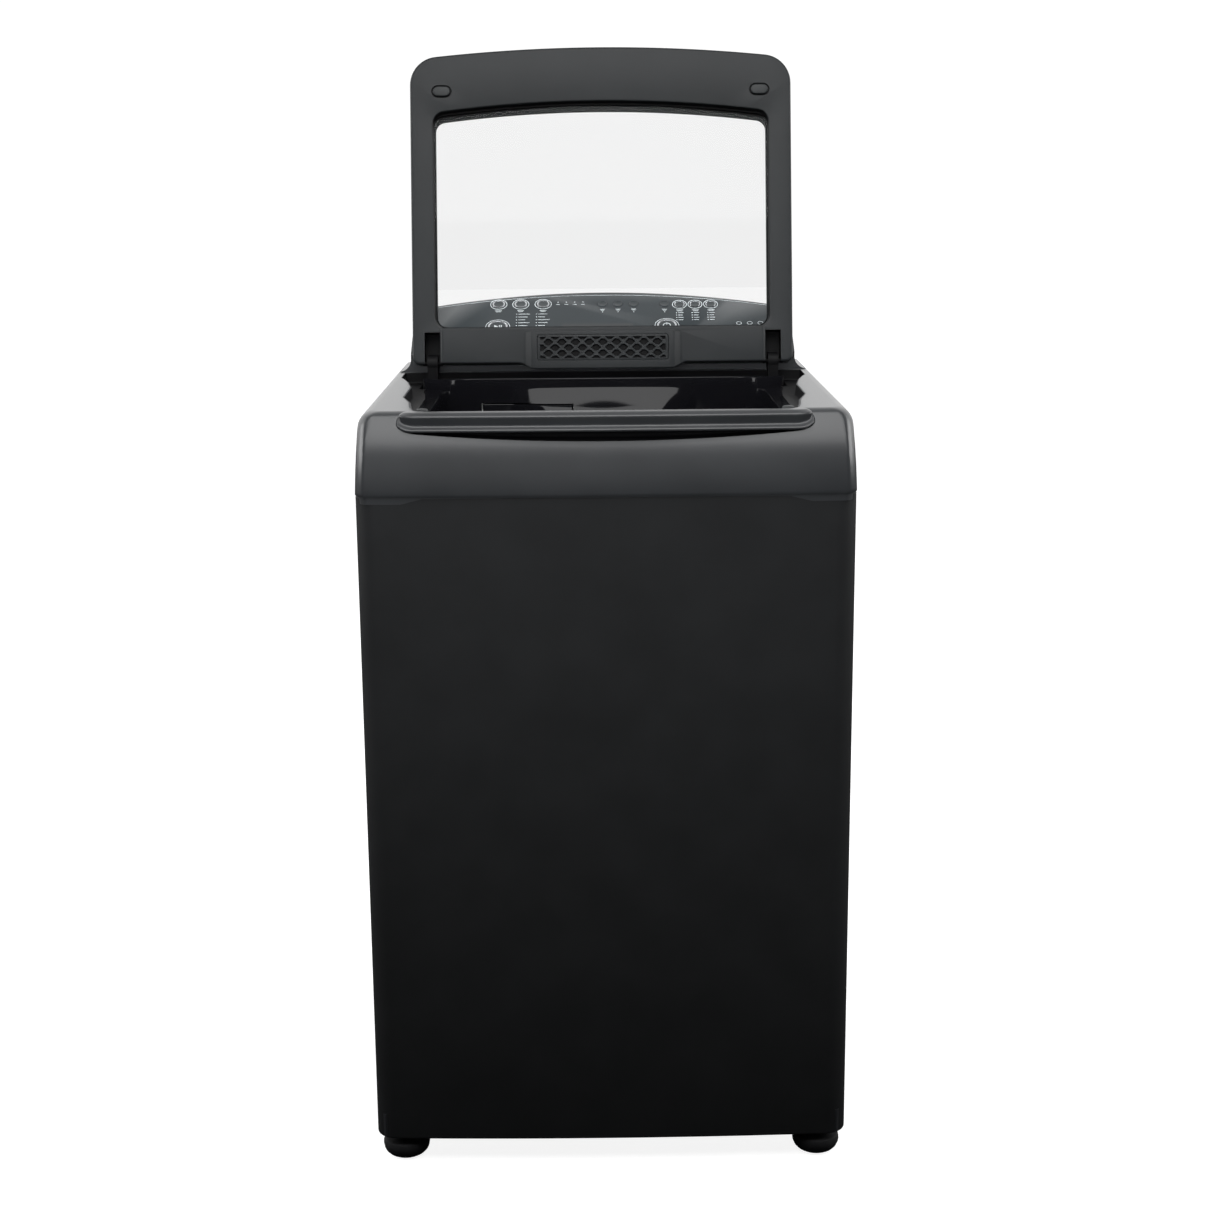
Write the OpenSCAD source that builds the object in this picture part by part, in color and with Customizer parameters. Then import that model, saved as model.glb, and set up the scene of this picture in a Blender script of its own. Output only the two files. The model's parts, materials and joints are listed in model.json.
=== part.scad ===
// Top load washing machine with its lid open.
// Millimetres, +Z up. The front faces -Y and the origin is on the floor, under the middle of the machine.
// Depth positions are written as t, the distance behind the front face.

/* [Cabinet] */
// Width over the top cover
width = 550; // [546:1:556]
// Depth from the front face to the ends of the water inlets
depth = 580; // [578:1:590]
// Height of the cabinet's lower edge over the floor
foot_gap = 30; // [30:1:34]
// Height of the seam between cabinet and top cover
seam_z = 790; // [788:1:792]
// Height of the deck that surrounds the lid
deck_z = 880; // [878:1:882]
// Thickness of the cabinet's steel sheet
sheet = 1.2; // [1:0.1:1.6]
// Wall of the plastic mouldings
wall = 3; // [2.5:0.5:3.5]

/* [Lid] */
// How far the lid is open, where 0 is closed
lid_open = 102; // [0:1:102]
// Half of the lid's width
lid_hw = 241; // [236:1:243]
// Length of the lid in front of its hinge
lid_len = 397; // [390:1:398]
// Hinge axis behind the front face
hinge_t = 415; // [414:1:416]
// Hinge axis over the floor
hinge_z = 893; // [892:1:895]

/* [Tub and drive] */
// Outer radius of the outer tub
tub_r = 246; // [240:1:248]
// Inner radius of the wash basket
basket_r = 216; // [210:1:217]
// Groove radius of the large pulley
pulley_r = 60; // [55:1:64]
// Groove radius of the motor's pulley
motor_pulley_r = 16; // [14:1:18]
// Distance from the wash axis to the motor's axis
belt_centres = 150; // [146:1:154]

/* [Buttons] */
// How far a button travels
button_travel = 1.5; // [1:0.1:2]

/* [Hidden] */
$fn = 96;

graphite = [0.16, 0.17, 0.18];
graphite_dark = [0.10, 0.11, 0.12];
steel = [0.70, 0.71, 0.72];
plastic_white = [0.86, 0.86, 0.84];
rubber_black = [0.05, 0.05, 0.05];

eps = 0.1;
half_w = width / 2;
cab_hw = half_w - 2;
back_t = 556;
cab_t0 = 3;
bow_r = 6000;
wash_t = 280;
// Height of the tub's parts over the floor
tub_z0 = 228;
tub_z1 = 784.7;
// Console: the control panel's slope starts at this point and rises backwards
panel_t0 = 436;
panel_z0 = 903;
panel_slope = 30.9;
panel_thick = 2.5;
console_hw = 246;
crown_r = 1780;
crown_z = 977;
// Lid, measured from the hinge axis: along the lid (s) and out of its outer face (n)
lid_top_n = 15;
lid_seam_n = -1;
lid_under_n = -11;
glass_n = 3;
arc_r = 2040;
lid_end = 2;
slot_x0 = 206.5;
slot_x1 = 226;
slot_s = 38;
pin_r = 3;
pin_clear = 0.05;
// Levelling feet
foot_x = 242;
foot_t0 = 36;
foot_t1 = 520;
stud_r = 5;
// Hanging rods
rod_x = 225;
rod_dt = 222;
rod_r = 4;
ear_z = 326;
// Water inlets: height over the floor, and outer radius of their threads
valve_z = 905;
inlet_r = 13.2;
// Band along the lid's rear edge and the vent block on it, as n
band_n = -20;
block_n = -28;
// Buttons on the panel, each as [x, s, radius of its cap]
BUTTONS = [
    [-136, 104, 8.5], [-107, 104, 8.5], [-77.5, 104, 8.5],
    [0.5, 103, 6], [21, 103, 6], [41.5, 103, 6], [82, 102, 6],
    [102, 101, 7], [122.5, 101, 7], [143, 101, 7],
    [-136, 54, 13], [84, 54, 13]
];
button_gap = 0.4;
board_n = -22;

function fy(t) = t - depth / 2;
function rod_places() = [for (sx = [-1, 1], st = [-1, 1]) [sx * rod_x, fy(wash_t + st * rod_dt)]];

// ---------- outlines ----------

// Rounded outline between t0 and t1, with front radius rf and rear radius rr
module plan(hw, t0, t1, rf, rr) {
    translate([-hw, fy(t0) + rf]) square([2 * hw, t1 - t0 - rf - rr]);
    translate([-hw + rf, fy(t0)]) square([2 * (hw - rf), rf + 1]);
    translate([-hw + rr, fy(t1) - rr - 1]) square([2 * (hw - rr), rr + 1]);
    for (sx = [-1, 1]) {
        translate([sx * (hw - rf), fy(t0) + rf]) circle(rf);
        translate([sx * (hw - rr), fy(t1) - rr]) circle(rr);
    }
}

// The same outline with the front edge bowed forwards
module bowed_plan(hw, t0, t1, rf, rr, r = bow_r) {
    intersection() {
        plan(hw, t0, t1, rf, rr);
        translate([0, fy(t0) + r]) circle(r, $fn = 720);
    }
}

// Draws an outline given as [t, z] along X, from -hw to hw
module along_x(hw) {
    translate([-hw, 0, 0]) rotate([90, 0, 90]) linear_extrude(2 * hw) children();
}

module ring(r0, r1, z0, z1) {
    translate([0, 0, z0]) difference() {
        cylinder(r = r1, h = z1 - z0);
        translate([0, 0, -eps]) cylinder(r = r0, h = z1 - z0 + 2 * eps);
    }
}

module at_wash_axis() {
    translate([0, fy(wash_t), 0]) children();
}

// ---------- cabinet ----------

module cabinet() {
    color(graphite) difference() {
        translate([0, 0, foot_gap]) linear_extrude(seam_z - foot_gap) difference() {
            bowed_plan(cab_hw, cab_t0, back_t, 24, 2);
            bowed_plan(cab_hw - sheet, cab_t0 + sheet, back_t - sheet, 24 - sheet, 1);
            translate([-cab_hw + 22, fy(back_t) - 4]) square([2 * cab_hw - 44, 10]);
        }
    }
}

module rear_panel() {
    plate_hw = cab_hw - 4;
    color(steel) difference() {
        union() {
            translate([-plate_hw, fy(back_t), 36]) cube([2 * plate_hw, sheet, 748]);
            for (x = [-150, 0, 150], z = [120, 430])
                translate([x - 50, fy(back_t) + sheet - eps, z]) cube([100, 2.5, 240]);
        }
        for (z = [700 : 14 : 756], x = [-120, 120])
            translate([x - 40, fy(back_t) - 1, z]) cube([80, 6, 5]);
        translate([-190, fy(back_t) - 1, 90]) rotate([-90, 0, 0]) cylinder(r = 21, h = 6);
    }
}

module foot_bores(r, t) {
    for (sx = [-1, 1]) translate([sx * foot_x, fy(t), 20]) cylinder(r = r, h = 60);
}

module base_frame() {
    color(rubber_black) difference() {
        union() {
            translate([0, 0, 32]) linear_extrude(28) difference() {
                bowed_plan(cab_hw - sheet - 0.5, 5, back_t - 2, 23, 4);
                plan(cab_hw - 50, 56, back_t - 50, 40, 40);
            }
            for (t = [foot_t0, foot_t1], sx = [-1, 1])
                translate([sx * foot_x, fy(t), 58]) cylinder(r = 14, h = 8);
        }
        foot_bores(stud_r + pin_clear, foot_t0);
        foot_bores(stud_r, foot_t1);
        for (sx = [-1, 1], t = [80 : 60 : 440])
            translate([sx * (cab_hw - 40) - 14, fy(t), 40]) cube([28, 44, 30]);
    }
}

module foot() {
    color(rubber_black) rotate_extrude() polygon([
        [0, 0], [24.5, 0], [27, 2], [27.5, 4], [27.5, 10], [25, 13], [13, 17], [12, 22],
        [9, 22], [9, 31.7], [stud_r, 31.7], [stud_r, 76], [0, 76]
    ]);
}

module foot_front_left() {
    translate([-foot_x, fy(foot_t0), 0]) foot();
}

module foot_front_right() {
    translate([foot_x, fy(foot_t0), 0]) foot();
}

module feet_rear() {
    for (sx = [-1, 1]) translate([sx * foot_x, fy(foot_t1), 0]) foot();
}

module rod_brackets() {
    color(steel) for (sx = [-1, 1], st = [-1, 1]) {
        yc = fy(wash_t + st * rod_dt);
        difference() {
            union() {
                translate([sx * 236 - 34, yc - 34, 768]) cube([68, 68, 4]);
                translate([sx * 269 - 1.5, yc - 34, 740]) cube([3, 68, 32]);
            }
            translate([sx * rod_x, yc, 760]) cylinder(r = 6.75, h = 20);
        }
    }
}

module screws() {
    color(steel) {
        for (sx = [-1, 1], z = [60, 240, 420, 600, 770])
            translate([sx * (cab_hw - 11), fy(back_t) + sheet, z]) rotate([-90, 0, 0]) cylinder(r = 4, h = 2.4);
        for (x = [-180, -60, 60, 180])
            translate([x, fy(back_t) + 2, 953]) rotate([-90, 0, 0]) cylinder(r = 3.5, h = 2);
    }
}

// ---------- top cover ----------

// Outer section of the top cover, seen from the front
module cover_front_section(hw) {
    top_hw = hw - 21.5;
    polygon([[-hw, seam_z], [hw, seam_z], [hw - 3.5, deck_z - 18], [-hw + 3.5, deck_z - 18]]);
    translate([-top_hw, seam_z]) square([2 * top_hw, deck_z - seam_z]);
    for (sx = [-1, 1]) translate([sx * top_hw, deck_z - 18]) circle(18);
}

// Outer section of the top cover, seen from the side: a gently rolled fascia with a rounded top edge
module cover_side_section() {
    intersection() {
        union() {
            translate([fy(120), seam_z + 10]) circle(120, $fn = 360);
            translate([fy(100), seam_z - 20]) square([back_t - 90, deck_z - seam_z + 40]);
        }
        union() {
            translate([fy(43.1), deck_z - 26.4]) circle(26.4);
            translate([fy(-5), seam_z - 5]) square([48.2, deck_z - seam_z - 7]);
            translate([fy(43.1), seam_z - 5]) square([back_t - 35, deck_z - seam_z + 5]);
        }
    }
}

// Recess in the deck that the lid closes over
module recess_outline(grow = 0) {
    plan(211 + grow, 34 - grow, 400, 20 + grow, 5);
    plan(230 + grow, 150 - grow, 430 + grow, 18, 14 + grow);
    polygon([
        [-230 - grow, fy(300)], [-250 - grow, fy(396)], [-250 - grow, fy(430 + grow)],
        [250 + grow, fy(430 + grow)], [250 + grow, fy(396)], [230 + grow, fy(300)]
    ]);
}

module well_outline(grow = 0) {
    plan(200 + grow, 46 - grow, 362 + grow, 55 + grow, 40 + grow);
}

// Slanted floor of the well, which falls towards the basket's mouth
module above_funnel() {
    at_wash_axis() rotate_extrude() polygon([
        [0, 790], [186, 790], [186, 806], [420, 888], [420, 900], [0, 900]
    ]);
}

module below_funnel() {
    at_wash_axis() rotate_extrude() polygon([[189, 780], [189, 803], [420, 884], [420, 780]]);
}

module well() {
    ledge_z = deck_z - 14;
    difference() {
        union() {
            translate([0, 0, 801]) linear_extrude(ledge_z - 801) well_outline(wall);
            // raised rim along the well's rear edge
            translate([0, 0, ledge_z - eps]) linear_extrude(6) intersection() {
                well_outline(wall);
                translate([-250, fy(325)]) square([500, 60]);
            }
        }
        intersection() {
            translate([0, 0, 780]) linear_extrude(120) well_outline();
            above_funnel();
        }
        below_funnel();
    }
}

module finger_lip() {
    along_x(222) translate([fy(0), 0]) polygon([
        [34, deck_z], [26, deck_z], [13, deck_z - 13.5], [10.5, deck_z - 14], [8.7, deck_z - 16],
        [9, deck_z - 19], [11, deck_z - 20.5], [34, deck_z - 22]
    ]);
}

module finger_groove() {
    along_x(226) translate([fy(0), 0]) polygon([
        [-5, deck_z + 20], [26, deck_z + 20], [26, deck_z], [26, deck_z - 22], [28, deck_z - 26],
        [25, deck_z - 30], [12, deck_z - 32.5], [-5, deck_z - 34]
    ]);
}

module top_cover() {
    color(graphite) difference() {
        union() {
            difference() {
                intersection() {
                    translate([0, 0, seam_z]) linear_extrude(deck_z - seam_z)
                        bowed_plan(half_w, 0, back_t, 34, 20);
                    translate([0, fy(back_t) + 1, 0]) rotate([90, 0, 0]) linear_extrude(back_t + 10)
                        cover_front_section(half_w);
                    along_x(half_w + 5) cover_side_section();
                }
                finger_groove();
                // hollow under the deck
                translate([0, 0, seam_z - eps]) linear_extrude(50 + eps)
                    bowed_plan(half_w - 4, 11, back_t - wall, 30, 16);
                translate([0, 0, seam_z + 1]) linear_extrude(deck_z - seam_z - 23)
                    plan(half_w - 7, 32, back_t - wall - 1.5, 24, 14);
                translate([0, 0, seam_z + 2]) linear_extrude(deck_z - seam_z - wall - 2)
                    plan(half_w - 24, 38, back_t - wall - 3, 20, 10);
                // recess, cut right through: its pan is added below
                translate([0, 0, seam_z]) linear_extrude(deck_z) recess_outline();
                // service opening under the console
                translate([-200, fy(446), seam_z]) cube([400, 96, 120]);
            }
            finger_lip();
            // pan of the recess
            translate([0, 0, deck_z - 17]) linear_extrude(17 - wall + eps) difference() {
                recess_outline(wall);
                recess_outline();
            }
            translate([0, 0, deck_z - 17]) linear_extrude(wall) difference() {
                recess_outline(1);
                well_outline(1);
                translate([-231, fy(368)]) square([462, 63]);
            }
            // trough that the lid's rear band turns in
            difference() {
                translate([-234, fy(365), deck_z - 28]) cube([468, 70, 14]);
                translate([-231, fy(368), deck_z - 25]) cube([462, 63, 20]);
            }
            well();
        }
        // mouth of the detergent drawer in the well's rear wall
        translate([-154, fy(355), 808]) cube([118, 20, 42.5]);
        // feet of the hinge posts
        for (sx = [-1, 1]) translate([sx * 216, fy(hinge_t), deck_z - 40]) cylinder(r = 4, h = 30);
    }
}

module landing_pads() {
    color(graphite_dark) for (sx = [-1, 1])
        translate([sx * 203 - 7, fy(66), deck_z - 14]) cube([14, 14, 12]);
}

module hinge_posts() {
    color(graphite_dark) for (sx = [-1, 1]) translate([sx * 216, fy(hinge_t), 0]) difference() {
        union() {
            translate([-6.5, -10, deck_z - 25]) cube([13, 20, hinge_z - deck_z + 25]);
            translate([-6.5, 0, hinge_z]) rotate([0, 90, 0]) cylinder(r = 11, h = 13);
            translate([0, 0, deck_z - 34]) cylinder(r = 4, h = 12);
        }
        translate([-10, 0, hinge_z]) rotate([0, 90, 0]) cylinder(r = pin_r + pin_clear, h = 20);
    }
}

// ---------- console ----------

// Moves children from the panel's own plane (x, s up the slope, n out of it) to the machine
module on_panel() {
    translate([0, fy(panel_t0), panel_z0]) rotate([panel_slope, 0, 0]) children();
}

module console_side_section(i) {
    rise = tan(panel_slope);
    polygon([
        [fy(panel_t0) + i, deck_z - eps], [fy(panel_t0) + i, panel_z0 - 0.6 * i],
        [fy(550) - 0.5 * i, panel_z0 + 114 * rise - 1.17 * i], [fy(back_t) - i, panel_z0 + 114 * rise - 6 - i],
        [fy(back_t) - i, deck_z - eps]
    ]);
}

module console_front_section(i) {
    intersection() {
        translate([-console_hw + i, deck_z]) square([2 * (console_hw - i), 120]);
        translate([0, crown_z - i - crown_r]) circle(crown_r, $fn = 720);
    }
    if (i == 0) difference() {
        translate([-console_hw - 16, deck_z]) square([2 * console_hw + 32, 16]);
        for (sx = [-1, 1]) translate([sx * (console_hw + 16), deck_z + 17]) circle(16);
    }
}

module console_body(i) {
    intersection() {
        along_x(console_hw + 20) console_side_section(i);
        translate([0, fy(back_t) + 1, 0]) rotate([90, 0, 0]) linear_extrude(back_t - panel_t0 + 20)
            console_front_section(i);
        linear_extrude(1000) plan(console_hw + 18 - i, panel_t0 - 20, back_t - i, 4, 20 - i);
    }
}

module console_housing() {
    color(graphite) difference() {
        console_body(0);
        translate([0, 0, -0.3]) console_body(wall);
        // opening under the control panel
        on_panel() translate([0, 0, -20]) linear_extrude(30) panel_outline(222, 12, 124.5);
        // opening behind, closed by the rear cover
        translate([-216, fy(back_t) - 10, deck_z + 6]) cube([432, 20, 62]);
    }
}

// Outline of the control panel on its slope, with an arched upper edge
module panel_outline(hw, s0, s1) {
    intersection() {
        union() {
            translate([-hw + 10, s0]) square([2 * hw - 20, 10]);
            translate([-hw, s0 + 10]) square([2 * hw, s1 - s0 - 10]);
            for (sx = [-1, 1]) translate([sx * (hw - 10), s0 + 10]) circle(10);
        }
        translate([0, s1 - 935]) circle(935, $fn = 720);
    }
}

module control_panel() {
    color(graphite_dark) on_panel() difference() {
        linear_extrude(panel_thick) panel_outline(232, 6, 127);
        for (b = BUTTONS) translate([b[0], b[1], -eps]) cylinder(r = b[2] + button_gap, h = 6);
        translate([-52, 26, -eps]) cube([92, 34, 6]);
    }
}

module display_window() {
    color([0.05, 0.08, 0.09]) on_panel() {
        translate([-52, 26, 0]) cube([92, 34, panel_thick]);
        translate([-56, 22, -1.5]) cube([100, 42, 1.5]);
    }
}

module push_button(i) {
    b = BUTTONS[i];
    color(i < 3 || i > 6 ? steel : graphite) on_panel() translate([b[0], b[1], 0]) {
        translate([0, 0, -1.8]) cylinder(r = b[2], h = panel_thick + 2.8);
        translate([0, 0, -2]) cylinder(r = b[2] + 1.2, h = 1.8);
        translate([0, 0, board_n + 4.2 + button_travel + 0.3]) cylinder(r = 2.5, h = 15);
    }
}

module control_board() {
    color([0.10, 0.35, 0.20]) on_panel() {
        translate([-190, 30, board_n]) cube([380, 84, 1.6]);
        for (b = BUTTONS) translate([b[0] - 3, b[1] - 3, board_n + 1.6 - eps]) cube([6, 6, 2.6 + eps]);
        translate([-50, 28, board_n + 1.6 - eps]) cube([88, 30, 16]);
    }
}

module console_rear_cover() {
    color(graphite_dark) difference() {
        translate([-224, fy(back_t), deck_z + 2]) cube([448, 2, 76]);
        for (x = [-60, 60]) translate([x, fy(back_t) - 1, valve_z]) rotate([-90, 0, 0]) cylinder(r = 17, h = 4);
        for (x = [-200 : 8 : -140])
            translate([x, fy(back_t) - 1, 900]) cube([4, 4, 30]);
        translate([180, fy(back_t) - 1, 905]) rotate([-90, 0, 0]) cylinder(r = 8, h = 4);
    }
}

// ---------- water ----------

// Two valves with threaded inlets for the supply hoses
module inlet_valves() {
    color(plastic_white) for (x = [-60, 60]) translate([x, 0, valve_z]) {
        translate([0, fy(back_t) - 14, 0]) rotate([-90, 0, 0]) difference() {
            union() {
                cylinder(r = inlet_r + 2.6, h = 16);
                cylinder(r = inlet_r, h = depth - back_t + 14);
            }
            translate([0, 0, 8]) cylinder(r = 9.5, h = 40);
        }
        translate([-15, fy(back_t) - 36, -15]) cube([30, 24, 30]);
        translate([0, fy(back_t) - 26, -24]) cylinder(r = 6, h = 10);
    }
}

module water_duct() {
    color(plastic_white) difference() {
        union() {
            translate([-150, fy(450), 850.5]) cube([232, 88, 20]);
            for (x = [-60, 60]) translate([x, fy(back_t) - 26, 870]) cylinder(r = 9, h = 17.8);
        }
        translate([-147, fy(453), 853.5]) cube([226, 82, 14]);
        for (x = [-60, 60]) translate([x, fy(back_t) - 26, 866]) cylinder(r = 6, h = 30);
        for (x = [-140 : 12 : -50], t = [462 : 14 : 520])
            translate([x, fy(t), 840]) cylinder(r = 2, h = 20);
    }
}

module drawer_housing() {
    color(plastic_white) difference() {
        translate([-154, fy(366), 808]) cube([118, 174, 42.4]);
        translate([-151.5, fy(365), 810.5]) cube([113, 172.5, 37.4]);
        translate([-148, fy(452), 840]) cube([106, 84, 20]);
        translate([-140, fy(367), 800]) cube([90, 30, 12]);
    }
}

module detergent_drawer() {
    color(graphite_dark) difference() {
        union() {
            translate([-151, fy(359), 811]) cube([112, 3.5, 36]);
            translate([-150, fy(362), 811]) cube([110, 160, 33]);
        }
        translate([-147, fy(366), 814]) cube([62, 120, 40]);
        translate([-81, fy(366), 814]) cube([38, 120, 40]);
        translate([-147, fy(490), 814]) cube([104, 29, 40]);
    }
}

// ---------- lid ----------

// Moves children from the closed lid's own axes (hinge at the origin, front towards -Y) to where it stands
module on_lid() {
    translate([0, fy(hinge_t), hinge_z]) rotate([-lid_open, 0, 0]) children();
}

// Outline in the closed lid's own axes, between s0 and s1 in front of the hinge
module lid_outline(hw, s0, s1, rf, rr, r = arc_r) {
    translate([0, -fy(0)]) translate([0, -s1]) bowed_plan(hw, 0, s1 - s0, rf, rr, r);
}

module lid_slots(n0, n1) {
    for (sx = [-1, 1])
        translate([sx * (slot_x0 + slot_x1) / 2 - (slot_x1 - slot_x0) / 2, -slot_s, n0])
            cube([slot_x1 - slot_x0, slot_s + 20, n1 - n0]);
}

module pin_bores() {
    for (sx = [-1, 1]) translate([sx * 216 - 13, 0, 0]) rotate([0, 90, 0]) cylinder(r = pin_r, h = 26);
}

module lid_outer() {
    color(graphite) on_lid() difference() {
        union() {
            translate([0, 0, lid_seam_n]) linear_extrude(12) lid_outline(lid_hw, -lid_end, lid_len, 42, 8);
            translate([0, 0, 10]) linear_extrude(2.6) lid_outline(lid_hw - 1, -lid_end + 1, lid_len - 1, 41, 8);
            translate([0, 0, 12]) linear_extrude(lid_top_n - 12)
                lid_outline(lid_hw - 3, -lid_end + 3, lid_len - 3, 39, 6);
        }
        // hollow moulding behind its skin
        translate([0, 0, lid_seam_n - eps]) linear_extrude(lid_top_n - lid_seam_n - wall) difference() {
            lid_outline(lid_hw - wall, 20, lid_len - wall, 39, 8);
            lid_outline(217, 32, 330, 24, 20, 1300);
        }
        // seat of the glass and the window
        translate([0, 0, lid_seam_n - eps]) linear_extrude(glass_n - lid_seam_n + eps)
            lid_outline(214.3, 35.7, 325.3, 22, 18, 1300);
        translate([0, 0, 0]) linear_extrude(lid_top_n + 5) lid_outline(206, 46, 314, 18, 16, 1300);
        lid_slots(lid_seam_n - eps, 12.3);
        pin_bores();
    }
}

module lid_inner() {
    color(graphite) on_lid() difference() {
        union() {
            translate([0, 0, -9]) linear_extrude(9 + lid_seam_n)
                lid_outline(lid_hw, -lid_end, lid_len, 42, 8);
            translate([0, 0, lid_under_n]) linear_extrude(2.1)
                lid_outline(lid_hw - 2, -lid_end + 1, lid_len - 2, 40, 8);
        }
        translate([0, 0, lid_under_n - eps]) linear_extrude(12) lid_outline(209.5, 43, 328.7, 20, 17, 1300);
        lid_slots(lid_under_n - 1, 1);
        pin_bores();
        // seats of the two buffers
        for (sx = [-1, 1]) translate([sx * 200, -342, lid_under_n - 1]) pill(22, 13, 3);
    }
}

module pill(l, w, h) {
    translate([-(l - w) / 2, -w / 2, 0]) cube([l - w, w, h]);
    for (sx = [-1, 1]) translate([sx * (l - w) / 2, 0, 0]) cylinder(r = w / 2, h = h);
}

module lid_bumpers() {
    color(rubber_black) on_lid() for (sx = [-1, 1])
        translate([sx * 200, -342, lid_under_n - 2]) pill(19, 11, 4);
}

module lid_glass() {
    color([0.8, 0.85, 0.86, 0.3]) on_lid() translate([0, 0, lid_seam_n]) linear_extrude(glass_n - lid_seam_n)
        lid_outline(214, 36, 325, 22, 18, 1300);
}

module lid_band() {
    color(graphite) on_lid() difference() {
        union() {
            translate([-206, -42.7, band_n]) cube([412, 45, lid_under_n - band_n]);
            translate([0, 11, block_n]) rotate([90, 0, 0]) linear_extrude(48) polygon([
                [-110, 9], [-104, 7], [-97, 1.5], [-91, 0], [91, 0], [97, 1.5], [104, 7], [110, 9],
                [110, lid_under_n - block_n - 2], [-110, lid_under_n - block_n - 2]
            ]);
            translate([-91, -2, -16]) cube([182, 13, 5]);
        }
        translate([-83, -32, block_n - 1]) cube([166, 32.5, 5]);
        translate([-79, -29, block_n]) cube([158, 26.5, 9]);
    }
}

module lid_grille() {
    pitch = 17.2;
    row = 5.9;
    color(graphite_dark) on_lid() difference() {
        translate([-82.7, -31.7, block_n + 0.6]) cube([165.4, 31.9, 3.2]);
        translate([0, 0, block_n]) linear_extrude(6) intersection() {
            translate([-79, -29.5]) square([158, 27.5]);
            for (j = [-2 : 2], i = [-5 : 5])
                translate([(i + (j % 2 == 0 ? 0 : 0.5)) * pitch, -15.7 + j * row])
                    polygon([[-6.2, 0], [-3, 4.2], [3, 4.2], [6.2, 0], [3, -4.2], [-3, -4.2]]);
        }
    }
}

module hinge_pins() {
    color(steel) on_lid() for (sx = [-1, 1])
        translate([sx * 216 - 12.7, 0, 0]) rotate([0, 90, 0]) cylinder(r = pin_r, h = 25.4);
}

// ---------- tub ----------

module outer_tub() {
    rod_a = atan2(rod_dt, rod_x);
    rod_far = norm([rod_x, rod_dt]);
    color(plastic_white) at_wash_axis() difference() {
        union() {
            rotate_extrude() polygon([
                [31, tub_z0], [tub_r - 10, tub_z0], [tub_r, tub_z0 + 10], [tub_r, tub_z1],
                [tub_r - wall, tub_z1], [tub_r - wall, tub_z0 + 12], [tub_r - 12, tub_z0 + 5],
                [31, tub_z0 + 5]
            ]);
            for (a = [rod_a, 180 - rod_a, 180 + rod_a, -rod_a]) rotate([0, 0, a]) {
                translate([tub_r - 2, -17, ear_z]) cube([rod_far - tub_r + 2, 34, 8]);
                translate([tub_r - 2, -3, ear_z - 40]) cube([28, 6, 40]);
                translate([rod_far, 0, ear_z]) cylinder(r = 24, h = 8);
            }
        }
        for (a = [rod_a, 180 - rod_a, 180 + rod_a, -rod_a]) rotate([0, 0, a])
            translate([rod_far, 0, ear_z - 50]) cylinder(r = 7, h = 80);
        translate([-130, 0, tub_z0 - 5]) cylinder(r = 18, h = 20);
    }
}

module tub_ring() {
    color(plastic_white) at_wash_axis() rotate_extrude() polygon([
        [196, 774], [199, 774], [199, 784], [203, 784.8], [tub_r + 0.3, 784.8], [tub_r + 0.3, 762],
        [tub_r + 3, 762], [tub_r + 3, 785], [tub_r, 788], [198, 788], [196, 786]
    ]);
}

module suspension_rods() {
    color(steel) for (p = rod_places()) translate([p[0], p[1], 0]) {
        translate([0, 0, 262]) cylinder(r = rod_r, h = 514);
        translate([0, 0, 778]) sphere(r = 9);
        translate([0, 0, 262]) cylinder(r = 17, h = 5);
    }
}

module suspension_springs() {
    color(steel) for (p = rod_places()) translate([p[0], p[1], 0]) ring(10, 15, 267.3, ear_z - 5);
}

module suspension_caps() {
    color(graphite_dark) for (p = rod_places()) translate([p[0], p[1], 0]) rotate_extrude() polygon([
        [rod_r + 0.8, ear_z], [24, ear_z], [24, ear_z - 4], [21, ear_z - 4], [21, ear_z - 30],
        [18.5, ear_z - 30], [18.5, ear_z - 4], [rod_r + 0.8, ear_z - 4]
    ]);
}

module bearings() {
    color(steel) at_wash_axis() {
        ring(20 + pin_clear, 36, 150, 165);
        ring(20 + pin_clear, 36, 205, 220);
    }
}

module shaft_seal() {
    color(rubber_black) at_wash_axis() ring(20.3, 31, 221, 236);
}

module clutch_housing() {
    color(steel) at_wash_axis() difference() {
        union() {
            translate([0, 0, 146]) cylinder(r = 52, h = 78);
            translate([0, 0, 222]) cylinder(r = 88, h = 6);
            // arm that carries the motor
            translate([-50, 0, 222]) cube([100, belt_centres + 55, 6]);
        }
        translate([0, 0, 140]) cylinder(r = 24, h = 100);
        translate([0, 0, 150]) cylinder(r = 36, h = 15);
        translate([0, 0, 205]) cylinder(r = 36, h = 15);
        translate([0, 0, 220.5]) cylinder(r = 31, h = 10);
    }
}

module motor() {
    color(steel) at_wash_axis() translate([0, belt_centres, 0]) difference() {
        union() {
            translate([0, 0, 132]) cylinder(r = 58, h = 76);
            translate([0, 0, 126]) cylinder(r = 24, h = 84);
            for (sx = [-1, 1], sy = [-1, 1]) translate([sx * 38, sy * 38, 200]) cylinder(r = 8, h = 22);
        }
        translate([0, 0, 120]) cylinder(r = 6 + pin_clear, h = 84);
    }
}

// Grooved wheel between z0 and z0 + 20
module grooved_wheel(groove_r, z0) {
    rim = groove_r + 6;
    rotate_extrude() polygon([
        [0, z0], [rim, z0], [rim, z0 + 3], [groove_r, z0 + 6], [groove_r, z0 + 14],
        [rim, z0 + 17], [rim, z0 + 20], [0, z0 + 20]
    ]);
}

module motor_pulley() {
    color(steel) at_wash_axis() translate([0, belt_centres, 0]) {
        grooved_wheel(motor_pulley_r, 98);
        translate([0, 0, 90]) cylinder(r = 6, h = 110);
    }
}

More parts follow.
